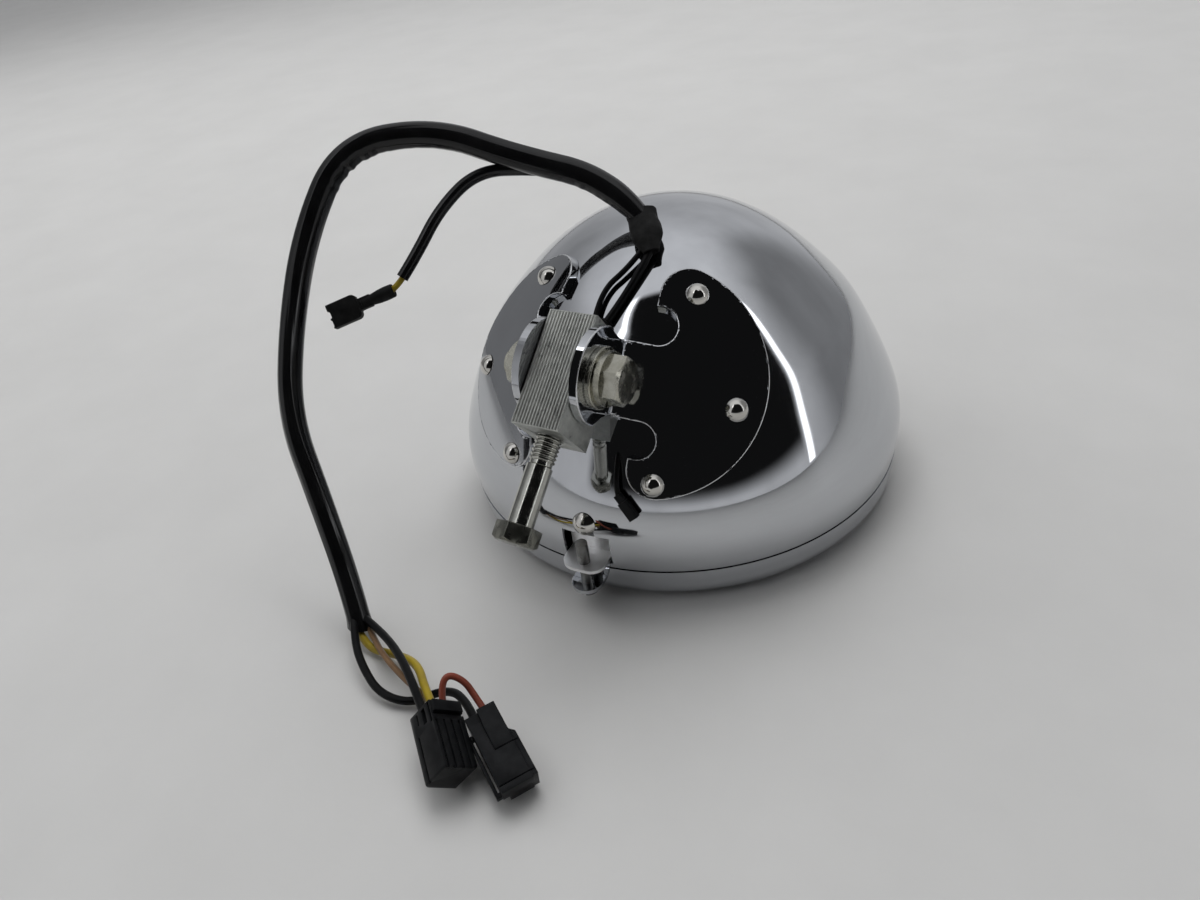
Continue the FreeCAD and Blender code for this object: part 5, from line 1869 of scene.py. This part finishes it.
@dataclass
class ShrinkSleeve:
    """Shrunk sleeve where the leads leave the loom, flattened on the bowl."""

    low: Point = (8.8, -27.5, 101.4)
    top: Point = (0.9, -16.1, 106.9)
    flat_way: Point = (0.10, -0.42, 0.90)
    flat: float = 0.58
    profile: list[Ring] = field(default_factory=lambda: [
        (0.0, -1.0), (2.0, -1.2), (2.3, -1.7), (2.6, -1.5), (2.9, -0.4), (3.4, 1.2), (4.2, 2.8), (4.8, 4.4),
        (5.15, 6.2), (5.2, 8.0), (5.05, 9.8), (4.85, 11.6), (4.75, 13.2), (4.85, 14.8), (5.0, 15.8),
        (4.9, 16.3), (4.5, 16.2), (4.2, 15.2), (0.0, 14.6)])
    wrinkle: float = 0.5
    wrinkle_size: float = 3.2

    def build(self) -> Piece:
        """Model the sleeve and put it in place of its node.

        Returns:
            The sleeve.
        """
        body = Bench.turn("shrink_sleeve", self.profile, 64)
        refine = body.modifiers.new("refine", "SUBSURF")
        refine.levels = 1
        creases = bpy.data.textures.new("sleeve_creases", "CLOUDS")
        creases.noise_scale = self.wrinkle_size * MM
        creases.noise_depth = 2
        relief = body.modifiers.new("wrinkle", "DISPLACE")
        relief.texture = creases
        relief.texture_coords = "LOCAL"
        relief.strength = self.wrinkle * MM
        relief.mid_level = 0.5
        Bench.apply(body)
        flat = Matrix.Diagonal((1.0, self.flat, 1.0, 1.0))
        side = (Vector(self.top) - Vector(self.low)).cross(Vector(self.flat_way))
        Bench.place(body, Bench.along(self.low, self.top, side) @ flat)
        Bench.smooth(body, 60.0)
        Rubber("shrink_rubber").dress(body)
        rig.ride(body, Body.LAMP.value)
        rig.replaces(body, "loom_sleeve")
        LOG.info("shrink sleeve")
        return body


@dataclass(frozen=True)
class LoomSkin:
    """How the loom's vinyl stands out over the wires inside it, in shares of its radius."""

    twist: float = 0.011
    oval: float = 0.045
    lobes: float = 0.02
    ridges: tuple[Span, ...] = ((0.4, 0.05), (2.5, 0.04), (4.4, 0.05))
    ridge_wide: float = 0.16
    fold: float = 0.085
    fold_from: float = 0.25
    neck: float = 0.24
    neck_reach: float = 14.0
    flare: float = 0.10
    flare_reach: float = 5.0

    def __call__(self, station: float, angle: float, left: float, inside: float) -> float:
        """Work out the radius at one point.

        Args:
            station: Distance along the loom, in millimetres.
            angle: Angle round it.
            left: Distance to its end, in millimetres.
            inside: How far the angle looks into a bend, 1 at the cord's bend radius.

        Returns:
            Share of the plain radius.
        """
        twist = station * self.twist
        share = 1.0 + self.oval * math.cos(2 * (angle + twist))
        share += self.lobes * math.cos(3 * angle - 1.7 * twist + 0.6)
        for place, height in self.ridges:
            gap = (angle + twist - place + math.pi) % (2 * math.pi) - math.pi
            share += height * math.exp(-(gap / self.ridge_wide) ** 2)
        folds = math.sin(station * 0.92 + 1.6 * math.sin(station * 0.23))
        folds += 0.5 * math.sin(station * 1.9 + 1.0)
        share += self.fold * folds * max(0.0, min(1.0, inside - self.fold_from)) ** 1.5
        share -= self.neck * max(0.0, 1 - station / self.neck_reach) ** 1.5
        share += self.flare * max(0.0, 1 - left / self.flare_reach) ** 2
        return share


@dataclass
class Wiring:
    """Loom, branch, leads, wires and their connectors."""

    loom_d: float = 8.0
    branch_d: float = 4.0
    wire_d: float = 2.6
    lead_d: float = 2.4
    thin_d: float = 2.0
    thin_lead_d: float = 1.8
    pilot_d: float = 1.6

    def build(self) -> None:
        """Make every cord and dress what they carry."""
        vinyl = Vinyl()
        loom = Cord("main_loom", [
            (1.5, -17.0, 106.2), (-12.0, -12.5, 116.5), (-39.5, -20.8, 125.0), (-66.0, -27.0, 135.5),
            (-92.0, -43.5, 134.5), (-98.5, -64.0, 112.5), (-97.5, -82.5, 89.0), (-93.0, -99.5, 65.0),
            (-79.5, -110.0, 41.0), (-67.0, -120.5, 17.0), (-61.0, -127.0, 4.4),
        ], self.loom_d, vinyl, FarEnd.BARE, around=64, step=0.5, swell=LoomSkin(), hollow=12.0, slant=1.6)
        branch = Cord("branch_loom", [
            (-27.0, -15.8, 119.8), (-37.0, -18.6, 121.0), (-52.5, -26.4, 122.3), (-61.5, -38.5, 113.5),
            (-66.0, -50.0, 102.0), (-69.0, -56.0, 96.4),
        ], self.branch_d, vinyl, FarEnd.FITTING, around=28, step=0.6, hollow=5.0)
        wires = [
            Cord("wire_black", [
                (-60.4, -125.3, 7.6), (-50.8, -127.9, 8.0), (-35.1, -135.5, 11.2), (-20.7, -145.5, 13.0),
                (-11.6, -152.4, 13.0)], self.wire_d, BLACK_WIRE),
            Cord("wire_yellow", [
                (-64.0, -126.1, 6.3), (-55.8, -132.6, 1.8), (-42.0, -131.2, 3.2), (-29.5, -134.6, 8.2),
                (-19.0, -143.6, 10.8), (-9.6, -150.0, 11.6)], self.wire_d, YELLOW_WIRE),
            Cord("wire_brown", [
                (-62.4, -123.2, 5.1), (-51.0, -131.2, 4.5), (-36.7, -138.4, 7.4), (-20.6, -143.6, 7.6),
                (-9.6, -147.2, 9.6)], self.thin_d, BROWN_WIRE),
            Cord("wire_loop", [
                (-61.7, -127.9, 8.4), (-56.0, -134.8, 6.6), (-48.0, -140.8, 5.2), (-37.6, -146.0, 3.4),
                (-26.6, -144.6, 2.2), (-19.6, -137.0, 3.4), (-9.6, -138.2, 7.0), (1.1, -146.4, 9.6)],
                self.wire_d, BLACK_WIRE, stiffness=Stiffness.LIMP),
        ]
        inner = [
            Cord(name, [(side * 1.3, -46.6, 80.6), (side * 2.2, -38.0, 72.5), (side * 9.0, -26.0, 78.0),
                        (side * 10.5, -11.4, 84.0)], self.thin_lead_d, BLACK_WIRE, FarEnd.OBJECT)
            for name, side in (("inner_lead_a", 1), ("inner_lead_b", -1))
        ]
        short = [
            Cord("wire_red", [
                (-8.4, -148.0, 12.8), (-10.8, -144.8, 16.8), (-10.8, -140.8, 19.6), (-6.4, -139.2, 16.8),
                (-2.6, -140.4, 12.6), (3.2, -143.2, 10.2)], self.thin_d, RED_WIRE, step=0.4),
            Cord("branch_wire", [(-68.4, -54.8, 97.5), (-69.6, -57.6, 94.7), (-72.0, -60.3, 93.0)],
                 self.thin_d, YELLOW_WIRE, step=0.4),
            Cord("lead_a", [(8.8, -26.6, 101.4), (7.8, -37.2, 94.8), (2.4, -48.6, 86.3)],
                 self.lead_d, BLACK_WIRE),
            Cord("lead_b", [
                (6.3, -26.6, 101.4), (3.9, -33.2, 97.5), (-2.6, -41.2, 92.3), (-2.0, -47.8, 86.6)],
                self.thin_lead_d, BLACK_WIRE),
            Cord("pilot_lead", [
                (13.0, -69.4, 53.4), (14.2, -74.2, 50.2), (14.6, -76.4, 45.4), (15.4, -77.2, 42.4)],
                self.pilot_d, BLACK_WIRE, step=0.4),
        ]
        for cord in [loom, branch, *wires, *inner, *short]:
            cord.build()
        Moulding().dress(frame["nodes"]["pilot_plug"])
        ribbed = RibbedHousing().build()
        slim = SlimHousing().build()
        jumper, branch_end, lead_a, lead_b = (cord.piece for cord in short[:4])
        loom.declare([ShrinkSleeve().build(), lead_a, lead_b])
        branch.declare([branch_end, PushOnTerminal().build()])
        for cord in wires:
            cord.declare([slim, jumper] if cord.name == "wire_loop" else [ribbed])
        for cord in inner:
            cord.declare([])


def main() -> None:
    """Build the sub-assemblies in order."""
    logging.basicConfig(level=logging.INFO, format="%(name)s: %(message)s")
    Studio().build()
    Bowl().build()
    Bracket().build()
    Mount().build()
    Wiring().build()
    low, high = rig.bounds()
    boxes = {"cad": [list(CAD_BOX[0]), list(CAD_BOX[1])], "visual": [list(low), list(high)]}
    with open("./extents.json", "w") as out:
        json.dump(boxes, out)


if __name__ == "__main__":
    main()
